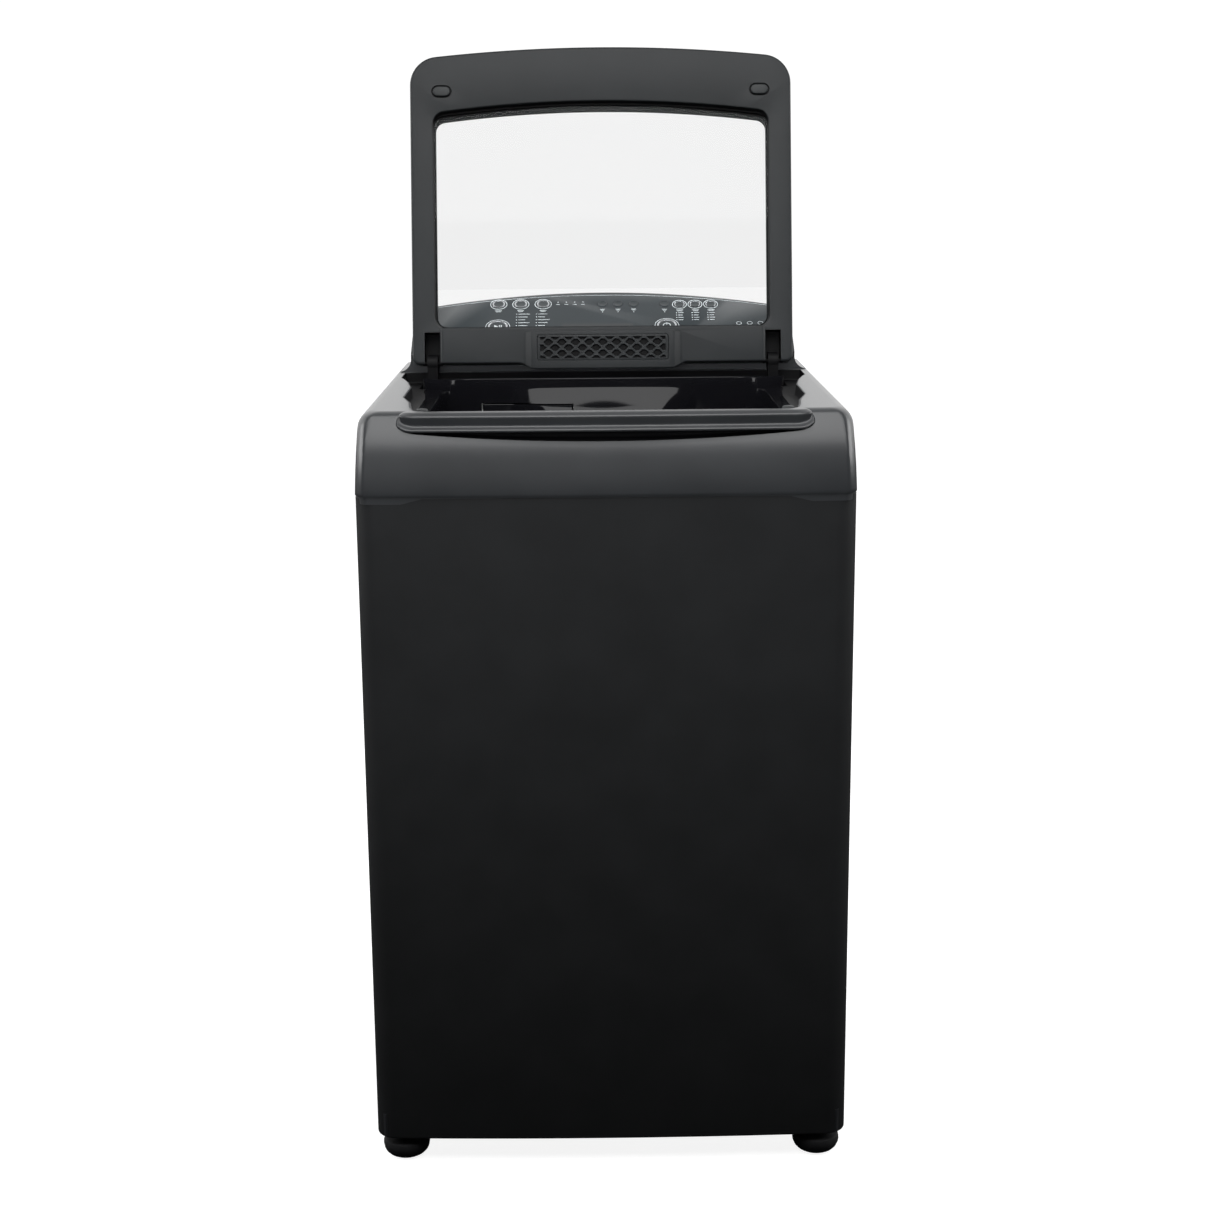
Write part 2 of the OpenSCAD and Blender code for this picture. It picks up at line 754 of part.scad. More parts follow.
module drive_pulley() {
    color(steel) at_wash_axis() difference() {
        grooved_wheel(pulley_r, 98);
        translate([0, 0, 90]) cylinder(r = 11, h = 40);
        for (a = [0 : 60 : 300]) rotate([0, 0, a]) translate([37, 0, 90]) cylinder(r = 12, h = 40);
    }
}

// Area inside the belt: a disc round each pulley, and the straight runs that touch both
module belt_loop(grow) {
    r0 = pulley_r + grow;
    r1 = motor_pulley_r + grow;
    lean = asin((r0 - r1) / belt_centres);
    circle(r0);
    translate([0, belt_centres]) circle(r1);
    polygon([
        [r0 * cos(lean), r0 * sin(lean)], [r1 * cos(lean), belt_centres + r1 * sin(lean)],
        [-r1 * cos(lean), belt_centres + r1 * sin(lean)], [-r0 * cos(lean), r0 * sin(lean)]
    ]);
}

module belt() {
    color(rubber_black) at_wash_axis() translate([0, 0, 105]) linear_extrude(6) difference() {
        belt_loop(5);
        belt_loop(0.4);
    }
}

module drain_valve() {
    color(plastic_white) at_wash_axis() translate([-130, 0, 0]) {
        difference() {
            translate([0, 0, 176]) cylinder(r = 26, h = tub_z0 - 176);
            translate([0, 0, 182]) cylinder(r = 18, h = 60);
        }
        translate([-60, 4, 0]) rotate([-90, 0, 0]) translate([0, -196, 0]) difference() {
            cylinder(r = 17, h = 200);
            translate([0, 0, 4]) cylinder(r = 14, h = 200);
        }
        translate([-60, -14, 181]) cube([60, 32, 30]);
        translate([-20, -86, 182]) cube([40, 60.5, 34]);
    }
}

module drain_outlet() {
    color(graphite_dark) translate([-190, 0, 90]) rotate([-90, 0, 0]) difference() {
        union() {
            translate([0, 0, fy(back_t) - 34]) cylinder(r = 18, h = 34 + sheet + 0.3);
            translate([0, 0, fy(back_t) + sheet]) cylinder(r = 26, h = 3);
            translate([0, 0, fy(back_t)]) cylinder(r = 15, h = depth - back_t);
        }
        translate([0, 0, fy(back_t) - 40]) cylinder(r = 12, h = 120);
    }
}

// ---------- basket and drive ----------

module basket() {
    color(steel) at_wash_axis() rotate_extrude() polygon([
        [basket_r, 252], [basket_r + sheet, 252], [basket_r + sheet, 738], [basket_r, 738]
    ]);
}

module basket_base() {
    color(steel) at_wash_axis() rotate_extrude() polygon([
        [20, 240], [46, 240], [50, 251], [60, 254], [basket_r - 8, 254], [basket_r - 4, 252],
        [basket_r, 252], [basket_r, 272], [basket_r - 3, 272], [basket_r - 6, 258], [20, 258]
    ]);
}

module balance_ring() {
    color(plastic_white) at_wash_axis() rotate_extrude() polygon([
        [190, 738], [222, 738], [224, 742], [224, 762], [220, 768], [194, 768], [188, 762], [188, 744]
    ]);
}

module lint_filter() {
    color(graphite_dark) at_wash_axis() intersection() {
        ring(204, basket_r, 430, 650);
        translate([-48, 100, 420]) cube([96, 150, 240]);
    }
}

module spin_tube() {
    color(steel) at_wash_axis() ring(11 + pin_clear, 20, 138, 258);
}

module drive_shaft() {
    color(steel) at_wash_axis() translate([0, 0, 90]) cylinder(r = 11, h = 196);
}

module pulsator() {
    color(plastic_white) at_wash_axis() difference() {
        union() {
            rotate_extrude() polygon([
                [0, 264], [150, 264], [168, 268], [170, 274], [166, 277], [90, 282], [56, 296],
                [40, 322], [24, 330], [0, 332]
            ]);
            for (a = [0 : 60 : 300]) rotate([90, 0, a]) translate([0, 0, -7]) linear_extrude(14) polygon([
                [20, 268], [150, 268], [156, 280], [146, 290], [96, 296], [60, 312], [20, 320]
            ]);
        }
        translate([0, 0, 260]) cylinder(r = 11, h = 26);
    }
}

cabinet();
rear_panel();
base_frame();
foot_front_left();
foot_front_right();
feet_rear();
rod_brackets();
top_cover();
console_housing();
control_panel();
console_rear_cover();
display_window();
control_board();
push_button(0);  // button_program_1
push_button(1);  // button_program_2
push_button(2);  // button_program_3
push_button(3);  // button_option_1
push_button(4);  // button_option_2
push_button(5);  // button_option_3
push_button(6);  // button_delay
push_button(7);  // button_level_1
push_button(8);  // button_level_2
push_button(9);  // button_level_3
push_button(10);  // button_start
push_button(11);  // button_power
inlet_valves();
water_duct();
detergent_drawer();
drawer_housing();
lid_outer();
lid_inner();
lid_glass();
lid_band();
lid_grille();
lid_bumpers();
hinge_pins();
hinge_posts();
landing_pads();
outer_tub();
tub_ring();
bearings();
shaft_seal();
basket();
basket_base();
balance_ring();
lint_filter();
spin_tube();
pulsator();
drive_shaft();
clutch_housing();
drive_pulley();
belt();
motor();
motor_pulley();
drain_valve();
drain_outlet();
suspension_rods();
suspension_springs();
suspension_caps();
screws();
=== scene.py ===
import json
import math

import bmesh
import bpy
import numpy as np
from mathutils import Matrix, Vector


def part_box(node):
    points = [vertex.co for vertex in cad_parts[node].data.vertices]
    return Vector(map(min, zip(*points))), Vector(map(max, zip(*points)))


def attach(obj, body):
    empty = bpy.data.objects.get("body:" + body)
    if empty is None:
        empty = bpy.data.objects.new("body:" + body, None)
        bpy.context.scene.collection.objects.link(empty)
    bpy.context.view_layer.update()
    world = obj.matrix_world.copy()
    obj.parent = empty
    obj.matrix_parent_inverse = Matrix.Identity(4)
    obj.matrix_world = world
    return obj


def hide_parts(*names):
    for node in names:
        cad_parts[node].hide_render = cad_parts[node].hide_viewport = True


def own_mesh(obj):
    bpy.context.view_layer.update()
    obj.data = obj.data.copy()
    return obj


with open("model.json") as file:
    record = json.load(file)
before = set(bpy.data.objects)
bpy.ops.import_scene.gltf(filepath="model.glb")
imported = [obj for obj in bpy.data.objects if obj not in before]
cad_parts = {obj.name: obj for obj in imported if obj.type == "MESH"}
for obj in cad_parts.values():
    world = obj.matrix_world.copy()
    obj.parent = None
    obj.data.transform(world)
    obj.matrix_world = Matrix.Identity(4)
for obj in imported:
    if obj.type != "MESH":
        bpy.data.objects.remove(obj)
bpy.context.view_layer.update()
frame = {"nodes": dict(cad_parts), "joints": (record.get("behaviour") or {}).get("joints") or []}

NODES = frame["nodes"]
MM = 0.001


# ---------- sizes in millimetres, taken from the CAD frame ----------

def box_mm(node):
    low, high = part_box(node)
    return np.array(low) / MM, np.array(high) / MM


COVER_LO, COVER_HI = box_mm("top_cover")
CAB_LO, CAB_HI = box_mm("cabinet")
BASKET_LO, BASKET_HI = box_mm("basket")
FRONT = COVER_LO[1]                       # y of the front face; t is the distance behind it
DECK = COVER_HI[2]
SEAM = COVER_LO[2]
HALF_W = COVER_HI[0]
BACK = COVER_HI[1]
BACK_T = BACK - FRONT
WASH_T = (BASKET_LO[1] + BASKET_HI[1]) / 2 - FRONT
BOW = 6000.0                              # radius of the slight bow of the front


# ---------- mesh helpers ----------

def arc(cx, cy, r, a0, a1, n=10):
    a = np.radians(np.linspace(a0, a1, n + 1))
    return np.stack([cx + r * np.cos(a), cy + r * np.sin(a)], 1)


def rounded_rect(hw, y0, y1, r0, r1, n=10):
    """Outline between y0 and y1, counterclockwise, with corner radius r0 at y0 and r1 at y1."""
    return np.concatenate([
        arc(hw - r0, y0 + r0, r0, -90, 0, n), arc(hw - r1, y1 - r1, r1, 0, 90, n),
        arc(-hw + r1, y1 - r1, r1, 90, 180, n), arc(-hw + r0, y0 + r0, r0, 180, 270, n),
    ])


def reach(outline, centre, angles):
    """Distance from centre to an outline along each angle, where 0 points to -Y and angles run towards +X."""
    d = np.stack([np.sin(angles), -np.cos(angles)], 1)
    a = outline - centre
    b = np.roll(outline, -1, 0) - centre
    e = b - a
    den = d[:, :1] * e[:, 1] - d[:, 1:] * e[:, 0]
    den = np.where(np.abs(den) < 1e-12, 1e-12, den)
    r = (a[:, 0] * e[:, 1] - a[:, 1] * e[:, 0]) / den
    u = (a[:, 0] * d[:, 1:] - a[:, 1] * d[:, :1]) / den
    hit = (u >= -1e-6) & (u <= 1 + 1e-6) & (r > 0)
    return np.where(hit, r, 0).max(1)


def circle_reach(cy, r, centre, angles):
    """The same for a circle around (0, cy)."""
    b = -np.cos(angles) * (centre[1] - cy)
    return -b + np.sqrt(b * b - (centre[1] - cy) ** 2 + r * r)


def star_angles(centre, outlines, base=240, gap=0.0012):
    """Evenly spread angles, with more of them where the outlines turn."""
    found = [np.linspace(-math.pi, math.pi, base, endpoint=False)]
    for o in outlines:
        d = o - centre
        found.append(np.arctan2(d[:, 0], -d[:, 1]))
    a = np.sort(np.concatenate(found))
    keep = [a[0]]
    for v in a[1:]:
        if v - keep[-1] > gap:
            keep.append(v)
    if keep[0] + 2 * math.pi - keep[-1] < gap:
        keep.pop()
    return np.array(keep)


def ring(centre, angles, r, z):
    out = np.zeros((len(angles), 3))
    out[:, 0] = centre[0] + r * np.sin(angles)
    out[:, 1] = centre[1] - r * np.cos(angles)
    out[:, 2] = z
    return out


def level(points, z):
    """Points [(x, y)] at a height, or places [x] along a line."""
    return np.column_stack([points, np.full(len(points), z)])


def quarter(r, n, turn=90):
    """Steps of a quarter round, as (distance from its start, rise)."""
    return [(r * (1 - math.cos(a)), r * math.sin(a)) for a in np.radians(np.linspace(0, turn, n))]


def smooth(x):
    x = np.clip(x, 0, 1)
    return x * x * (3 - 2 * x)


def filleted(points, n=6):
    """A path [(x, y, radius)] with its corners rounded."""
    pts = [np.array(p[:2], float) for p in points]
    out = [pts[0][None]]
    for i in range(1, len(pts) - 1):
        p, r = pts[i], points[i][2]
        u, v = pts[i - 1] - p, pts[i + 1] - p
        lu, lv = np.linalg.norm(u), np.linalg.norm(v)
        u, v = u / lu, v / lv
        half = math.acos(np.clip(u @ v, -1, 1)) / 2
        cut = min(r / math.tan(half), 0.49 * lu, 0.49 * lv)
        a, b = p + u * cut, p + v * cut
        s = np.linspace(0, 1, n + 1)[:, None]
        out.append((1 - s) ** 2 * a + 2 * s * (1 - s) * p + s * s * b)
    out.append(pts[-1][None])
    return np.concatenate(out)


def resample(path, n):
    d = np.concatenate([[0], np.cumsum(np.linalg.norm(np.diff(path, axis=0), axis=1))])
    s = np.linspace(0, d[-1], n)
    return np.stack([np.interp(s, d, path[:, k]) for k in range(path.shape[1])], 1)


def add_object(name, data):
    obj = bpy.data.objects.new(name, data)
    bpy.context.scene.collection.objects.link(obj)
    return obj


def make(name, verts, faces, mats, index=None, sharp=34, merge=None, place=None):
    """A mesh object from millimetre points. place moves them to where they stand."""
    verts = np.asarray(verts, float)
    mesh = bpy.data.meshes.new(name)
    mesh.from_pydata((verts * MM).tolist(), [], [tuple(int(i) for i in f) for f in faces])
    if index is not None:
        mesh.polygons.foreach_set("material_index", np.asarray(index, np.int32))
    bm = bmesh.new()
    bm.from_mesh(mesh)
    if merge:
        bmesh.ops.remove_doubles(bm, verts=bm.verts, dist=merge * MM)
    bmesh.ops.recalc_face_normals(bm, faces=bm.faces)
    bm.to_mesh(mesh)
    bm.free()
    obj = add_object(name, mesh)
    for m in mats if isinstance(mats, (list, tuple)) else [mats]:
        mesh.materials.append(m)
    if place is not None:
        mesh.transform(place)
    shade(obj, sharp)
    return obj


def shade(obj, sharp=34):
    obj.data.polygons.foreach_set("use_smooth", [True] * len(obj.data.polygons))
    obj.data.set_sharp_from_angle(angle=math.radians(sharp))


def loft(name, rings, mats, index=None, capped=False, **more):
    """Faces between rings of points. The last ring joins the first, or both ends are capped."""
    n, m = len(rings), len(rings[0])
    faces, idx = [], []
    for j in range(n - 1 if capped else n):
        a, b = j * m, ((j + 1) % n) * m
        for i in range(m):
            k = (i + 1) % m
            faces.append((a + i, a + k, b + k, b + i))
            idx.append(0 if index is None else index[j])
    if capped:
        faces += [tuple(range(m - 1, -1, -1)), tuple((n - 1) * m + i for i in range(m))]
        idx += [0, 0] if index is None else [index[0], index[-1]]
    return make(name, np.concatenate(rings), faces, mats, idx, **more)


def lathe(name, profile, mats, steps=64, centre=(0, 0), index=None, **more):
    """Turns a profile [(r, z)] around a vertical axis. Points with r = 0 become one point."""
    angles = np.linspace(0, 2 * math.pi, steps, endpoint=False)
    verts, start = [], []
    for r, z in profile:
        start.append((len(verts), r == 0))
        verts += [(centre[0] + r * math.cos(a), centre[1] + r * math.sin(a), z)
                  for a in (angles if r else angles[:1])]
    faces, idx = [], []
    n = len(profile)
    solid = profile[0][0] == 0 and profile[-1][0] == 0
    for j in range(n - 1 if solid else n):
        (p, pole_p), (q, pole_q) = start[j], start[(j + 1) % n]
        for i in range(steps):
            k = (i + 1) % steps
            if pole_p:
                faces.append((p, q + k, q + i))
            elif pole_q:
                faces.append((p + i, p + k, q))
            else:
                faces.append((p + i, p + k, q + k, q + i))
            idx.append(0 if index is None else index[j])
    return make(name, verts, faces, mats, idx, **more)


def block(name, lo, hi, mat, bevel=0, segments=3):
    """A moulded block, with its edges rounded when a bevel is given."""
    x0, y0, z0 = lo
    x1, y1, z1 = hi
    v = [(x, y, z) for z in (z0, z1) for x, y in ((x0, y0), (x1, y0), (x1, y1), (x0, y1))]
    f = [(3, 2, 1, 0), (4, 5, 6, 7), (0, 1, 5, 4), (1, 2, 6, 5), (2, 3, 7, 6), (3, 0, 4, 7)]
    obj = make(name, v, f, mat)
    if bevel:
        bm = bmesh.new()
        bm.from_mesh(obj.data)
        bmesh.ops.bevel(bm, geom=bm.edges[:], offset=bevel * MM, segments=segments, profile=0.5,
                        affect="EDGES")
        bm.to_mesh(obj.data)
        bm.free()
    shade(obj)
    return obj


def prism(name, outline, z0, z1, mat, round_top=0, round_bottom=0, place=None):
    """A plate with a star-shaped outline around its middle, with its top and bottom edges rounded when a
    radius is given.
    """
    outline = np.asarray(outline, float)
    c = outline.mean(0)
    levels = []
    for r, z, side in ((round_bottom, z0, -1), (round_top, z1, 1)):
        if r:
            part = [(inset, z - side * (r - rise)) for inset, rise in quarter(r, 5)]
            levels += part[::-1] if side < 0 else part
        else:
            levels.append((0, z))
    d = outline - c
    length = np.linalg.norm(d, axis=1)[:, None]
    rings = [level(c + d * (1 - inset / length), z) for inset, z in levels]
    return loft(name, rings, mat, capped=True, place=place)


def boolean(obj, operation, tools):
    for tool in tools:
        mod = obj.modifiers.new("boolean", "BOOLEAN")
        mod.operation, mod.solver, mod.object = operation, "EXACT", tool
    bpy.context.view_layer.update()
    done = obj.evaluated_get(bpy.context.evaluated_depsgraph_get())
    obj.data = bpy.data.meshes.new_from_object(done)
    obj.modifiers.clear()
    for tool in tools:
        bpy.data.objects.remove(tool)


def cut(obj, *tools):
    """Takes the tools out of obj."""
    boolean(obj, "DIFFERENCE", tools)
    bm = bmesh.new()
    bm.from_mesh(obj.data)
    bmesh.ops.remove_doubles(bm, verts=bm.verts, dist=0.01 * MM)
    bmesh.ops.dissolve_degenerate(bm, edges=bm.edges, dist=0.005 * MM)
    bm.to_mesh(obj.data)
    bm.free()
    shade(obj)
    return obj


def join(name, objs):
    """One object out of several, all of them closed on their own."""
    bm = bmesh.new()
    mats = []
    for o in objs:
        base = len(bm.faces)
        bm.from_mesh(o.data)
        bm.faces.ensure_lookup_table()
        slots = []
        for m in o.data.materials:
            if m not in mats:
                mats.append(m)
            slots.append(mats.index(m))
        for f in bm.faces[base:]:
            f.material_index = slots[f.material_index]
    mesh = bpy.data.meshes.new(name)
    bm.to_mesh(mesh)
    bm.free()
    for m in mats:
        mesh.materials.append(m)
    for o in objs:
        bpy.data.objects.remove(o)
    obj = add_object(name, mesh)
    shade(obj)
    return obj


def tint(obj, index, inside):
    """Gives the faces whose centre (in mm) is inside a region another of the piece's materials."""
    for face in obj.data.polygons:
        if inside(*(face.center / MM)):
            face.material_index = index
    return obj


def moved(obj, place):
    """Moves the mesh of a piece that was made in its own axes."""
    obj.data.transform(place)
    return obj


def put(obj, body, slot, *nodes):
    """The body a piece rides on and the CAD nodes it replaces. The slot argument is not used."""
    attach(obj, body)
    if nodes:
        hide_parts(*nodes)
    return obj


# ---------- materials ----------

def set_inputs(node, **values):
    """Sets inputs by name, with _ for a space."""
    for name, value in values.items():
        node.inputs[name.replace("_", " ")].default_value = value


def noise(tree, vector, scale, detail):
    node = tree.nodes.new("ShaderNodeTexNoise")
    set_inputs(node, Scale=scale, Detail=detail)
    tree.links.new(vector, node.inputs["Vector"])
    return node.outputs["Fac"]


def material(name, colour, rough, metal=0.0, spec=0.5, coat=0.0, coat_rough=0.1,
             grain=(900, 0.02), shade_to=None, blotch=14, rough_by=0.08, stretch=None,
             alpha=1.0, glow=None):
    """A fine grain (scale, depth in mm) in the bump, and slow changes in colour and roughness."""
    m = bpy.data.materials.new(name)
    m.use_nodes = True
    nt = m.node_tree
    b = nt.nodes["Principled BSDF"]
    set_inputs(b, Metallic=metal, Specular_IOR_Level=spec, Coat_Weight=coat,
               Coat_Roughness=coat_rough, Alpha=alpha)
    if glow:
        set_inputs(b, Emission_Color=(*glow[0], 1), Emission_Strength=glow[1])
    coords = nt.nodes.new("ShaderNodeTexCoord")
    mapping = nt.nodes.new("ShaderNodeMapping")
    nt.links.new(coords.outputs["Object"], mapping.inputs["Vector"])
    if stretch:
        set_inputs(mapping, Scale=stretch)
    fine = noise(nt, mapping.outputs["Vector"], grain[0], 3)
    slow = noise(nt, coords.outputs["Object"], blotch, 5)
    ramp = nt.nodes.new("ShaderNodeValToRGB")
    ends = ramp.color_ramp.elements
    ends[0].position, ends[1].position = 0.35, 0.65
    ends[0].color = (*colour, 1)
    ends[1].color = (*(shade_to or [c * 1.18 for c in colour]), 1)
    nt.links.new(slow, ramp.inputs["Fac"])
    nt.links.new(ramp.outputs["Color"], b.inputs["Base Color"])
    spread = nt.nodes.new("ShaderNodeMapRange")
    set_inputs(spread, To_Min=rough - rough_by, To_Max=rough + rough_by)
    nt.links.new(fine, spread.inputs["Value"])
    nt.links.new(spread.outputs["Result"], b.inputs["Roughness"])
    bump = nt.nodes.new("ShaderNodeBump")
    set_inputs(bump, Strength=1.0, Distance=grain[1] * MM)
    nt.links.new(fine, bump.inputs["Height"])
    nt.links.new(bump.outputs["Normal"], b.inputs["Normal"])
    return m


M = {
    "paint": material("paint_graphite", (0.0130, 0.0135, 0.0142), 0.46, spec=0.22,
                      grain=(1400, 0.05), rough_by=0.05),
    "satin": material("plastic_graphite_satin", (0.022, 0.0235, 0.0255), 0.34, coat=0.12,
                      coat_rough=0.18, grain=(2200, 0.02), rough_by=0.04),
    "lid": material("plastic_graphite_textured", (0.0115, 0.0132, 0.0145), 0.50, spec=0.35,
                    grain=(1600, 0.10), rough_by=0.06),
    "gloss": material("plastic_black_gloss", (0.004, 0.004, 0.005), 0.10, spec=0.22,
                      grain=(300, 0.01), rough_by=0.03),
    "pad": material("plastic_grey_pad", (0.014, 0.016, 0.017), 0.5, spec=0.4, grain=(1500, 0.05)),
    # matte black is the hinge posts' own colour, and painted shade in the cover's recess, trough and groove,
    # the lid's window reveal, hinge slots and buffer seats and behind the vent
    "black": material("black_matte_plastic_and_painted_shade", (0.0030, 0.0030, 0.0034), 0.55, spec=0.15,
                      grain=(1300, 0.05), rough_by=0.06),
    "dark": material("plastic_dark_moulded", (0.014, 0.015, 0.017), 0.45, spec=0.4,
                     grain=(1300, 0.08), rough_by=0.06),
    "film": material("panel_film_smoked", (0.011, 0.019, 0.024), 0.25, coat=0.3,
                     coat_rough=0.06, grain=(1800, 0.008), rough_by=0.04),
    "lens": material("display_lens_dark", (0.006, 0.009, 0.011), 0.06, spec=0.6, coat=0.6,
                     coat_rough=0.03, grain=(600, 0.004), rough_by=0.02),
    "ink": material("panel_print_pale", (0.80, 0.86, 0.88), 0.5, grain=(2500, 0.005)),
    "segment": material("display_segments", (0.55, 0.72, 0.74), 0.5, grain=(2500, 0.004),
                        glow=((0.6, 0.85, 0.9), 0.5)),
    "chrome": material("chrome_rim", (0.72, 0.74, 0.76), 0.10, metal=1.0, grain=(900, 0.004),
                       rough_by=0.04),
    "cap": material("button_cap_satin", (0.055, 0.063, 0.067), 0.38, grain=(1800, 0.02)),
    "cap_dark": material("button_cap_dark", (0.045, 0.052, 0.056), 0.35, grain=(1800, 0.02)),
    "rubber": material("rubber_black", (0.009, 0.009, 0.010), 0.72, spec=0.3,
                       grain=(700, 0.12), rough_by=0.08),
    "zinc": material("steel_zinc_plated", (0.52, 0.54, 0.56), 0.34, metal=1.0, grain=(420, 0.03),
                     shade_to=(0.66, 0.67, 0.66), blotch=60, rough_by=0.10),
    "stainless": material("steel_stainless_brushed", (0.60, 0.61, 0.62), 0.26, metal=1.0,
                          grain=(260, 0.03), stretch=(1, 1, 14), rough_by=0.08),
    "white": material("plastic_natural_white", (0.60, 0.61, 0.60), 0.42, grain=(900, 0.05),
                      shade_to=(0.68, 0.68, 0.66)),
    "grey": material("plastic_light_grey", (0.30, 0.32, 0.33), 0.40, grain=(900, 0.05)),
    "board": material("circuit_board_green", (0.02, 0.10, 0.05), 0.35, coat=0.4,
                      grain=(500, 0.04), shade_to=(0.03, 0.15, 0.07), blotch=220),
    "cast": material("aluminium_cast", (0.46, 0.47, 0.48), 0.52, metal=1.0, grain=(500, 0.15),
                     blotch=40, rough_by=0.12),
    "galvanised": material("steel_galvanised_sheet", (0.42, 0.44, 0.45), 0.38, metal=1.0,
                           grain=(120, 0.02), shade_to=(0.56, 0.58, 0.59), blotch=90, rough_by=0.1),
    "glass": material("glass_tinted_clear", (0.030, 0.036, 0.038), 0.03, spec=0.45, alpha=0.10,
                      grain=(300, 0.002), rough_by=0.01),
}

CAD_FINISH = {                            # the CAD's own parts that stay visible
    "galvanised": ["rear_panel"],
    "dark": ["base_frame", "suspension_caps"],
    "rubber": ["shaft_seal", "belt"],
    "zinc": ["rod_brackets", "bearings", "spin_tube", "drive_shaft", "motor_pulley", "suspension_rods"],
    "lens": ["display_window"],
    "board": ["control_board"],
    "white": ["water_duct", "drawer_housing", "outer_tub", "drain_valve"],
    "black": ["hinge_pins", "hinge_posts"],
    "grey": ["tub_ring", "lint_filter"],
    "stainless": ["basket_base"],
    "cast": ["clutch_housing", "drive_pulley", "motor"],
    "glass": ["lid_glass"],
}
for finish, nodes in CAD_FINISH.items():
    for node in nodes:
        for place in NODES[node].material_slots:
            place.material = M[finish]


# ---------- cabinet: one bent steel sheet ----------

def at(outline):
    """Outline given as [x, t] to [x, y]."""
    out = np.array(outline, float)
    out[:, 1] += FRONT
    return out


def cabinet_path():
    """Outline of the sheet from one rear flange round to the other, with its outward normals."""
    hw, t0, t1, r = HALF_W, CAB_LO[1] - FRONT, CAB_HI[1] - FRONT, 24.0
    x = np.linspace(r - hw, hw - r, 41)
    front = np.stack([x, t0 + BOW - np.sqrt(BOW ** 2 - x ** 2)], 1)
    corner = arc(hw - r, front[0, 1] + r, r, -90, 0, 12)
    rear = arc(hw - 3, t1 - 3, 3, 0, 90, 5)
    half = np.concatenate([front[20:], corner[1:], [(hw, t0 + 150), (hw, t0 + 350)], rear,
                           [(hw - 12, t1), (hw - 22, t1)]])
    path = np.concatenate([half[::-1] * (-1, 1), half[1:]])
    d = np.gradient(path, axis=0)
    n = np.stack([d[:, 1], -d[:, 0]], 1)
    return path, n / np.linalg.norm(n, axis=1)[:, None]


def cabinet():
    path, normal = cabinet_path()
    z0, z1 = CAB_LO[2], CAB_HI[2] - 1.6                   # stops short, so that the seam shows
    sheet, fold, plain = 1.2, 13, z0 + 300
    section = filleted([(0, plain, 0), (0, z0, 2.5), (fold, z0, 0)]).tolist()
    section += [(fold, z0 + sheet)]
    section += filleted([(fold, z0 + sheet, 0), (sheet, z0 + sheet, 1.3), (sheet, plain, 0)]).tolist()[1:]
    section += [(sheet, z1 - 0.4), (sheet - 0.4, z1), (0.4, z1), (0, z1 - 0.4)]
    rings = [level(at(path - normal * inset), z) for inset, z in section]
    rings = list(np.stack(rings, 1))                      # one ring per place on the path
    return loft("cabinet_shell", rings, M["paint"], capped=True)


put(cabinet(), "cabinet_body", "painted_steel", "cabinet")


# ---------- top cover ----------

STAR_T = 250.0                            # the cover's rings are laid round this point
ROLL_R, ROLL_T, ROLL_Z = 120.0, 120.0, SEAM + 10         # the fascia is part of a large roll
EDGE_R = 14.0                             # and runs into this rounding at the deck
EDGE_T = ROLL_T - math.sqrt((ROLL_R - EDGE_R) ** 2 - (DECK - EDGE_R - ROLL_Z) ** 2)


def roll_t(z):
    """How far behind the front face the rolled fascia is at a height."""
    meet = (ROLL_T - EDGE_T) / (ROLL_R - EDGE_R)
    z_meet = ROLL_Z + ROLL_R * math.sqrt(1 - meet ** 2)
    low = ROLL_T - np.sqrt(ROLL_R ** 2 - (z - ROLL_Z) ** 2)
    high = EDGE_T - np.sqrt(np.clip(EDGE_R ** 2 - (z - DECK + EDGE_R) ** 2, 0, None))
    return np.where(z < z_meet, low, high)


def edge_inset(z, r):
    """How far a rounded upper edge has moved in at a height."""
    return r - np.sqrt(np.clip(r ** 2 - np.clip(z - DECK + r, 0, None) ** 2, 0, None))


def side_inset(z):
    return 3.5 * np.clip((z - SEAM) / (DECK - 18 - SEAM), 0, 1) + edge_inset(z, 18)


def plan(hw, t0, t1, r0, r1, n=10):
    return at(rounded_rect(hw, t0, t1, r0, r1, n))


# half width, t of the front and the rear edge, corner radii
WELL = (200, 46, 362, 55, 40)
RECESS = (212, 34, 400, 20, 5)
RECESS_WAIST = [(-213, 60), (-219, 116), (-231, 168), (-230, 430)]
RECESS_FLARE = [(-230, 262), (-238, 315), (-248, 358), (-261, 396), (-261, 430)]
PAN_Z = DECK - 14                         # floor of the recess that the lid lies in
TROUGH_W, TROUGH_T0, TROUGH_T1, TROUGH_DEPTH = 231, 368, 429, 11
MOUTH_R, FUNNEL_RISE = 186, 0.3504
SCOOP_W, SCOOP_DEPTH = 122, 34            # hollow in the rear wall of the well, in front of the drawer
GROOVE_W = 219                            # finger groove under the lid's front edge


def recess_reach(c, a):
    found = [reach(plan(*RECESS), c, a)]
    for half in (RECESS_WAIST, RECESS_FLARE):
        half = np.array(half)
        found.append(reach(at(np.concatenate([half, half[::-1] * (-1, 1)])), c, a))
    return np.maximum.reduce(found)


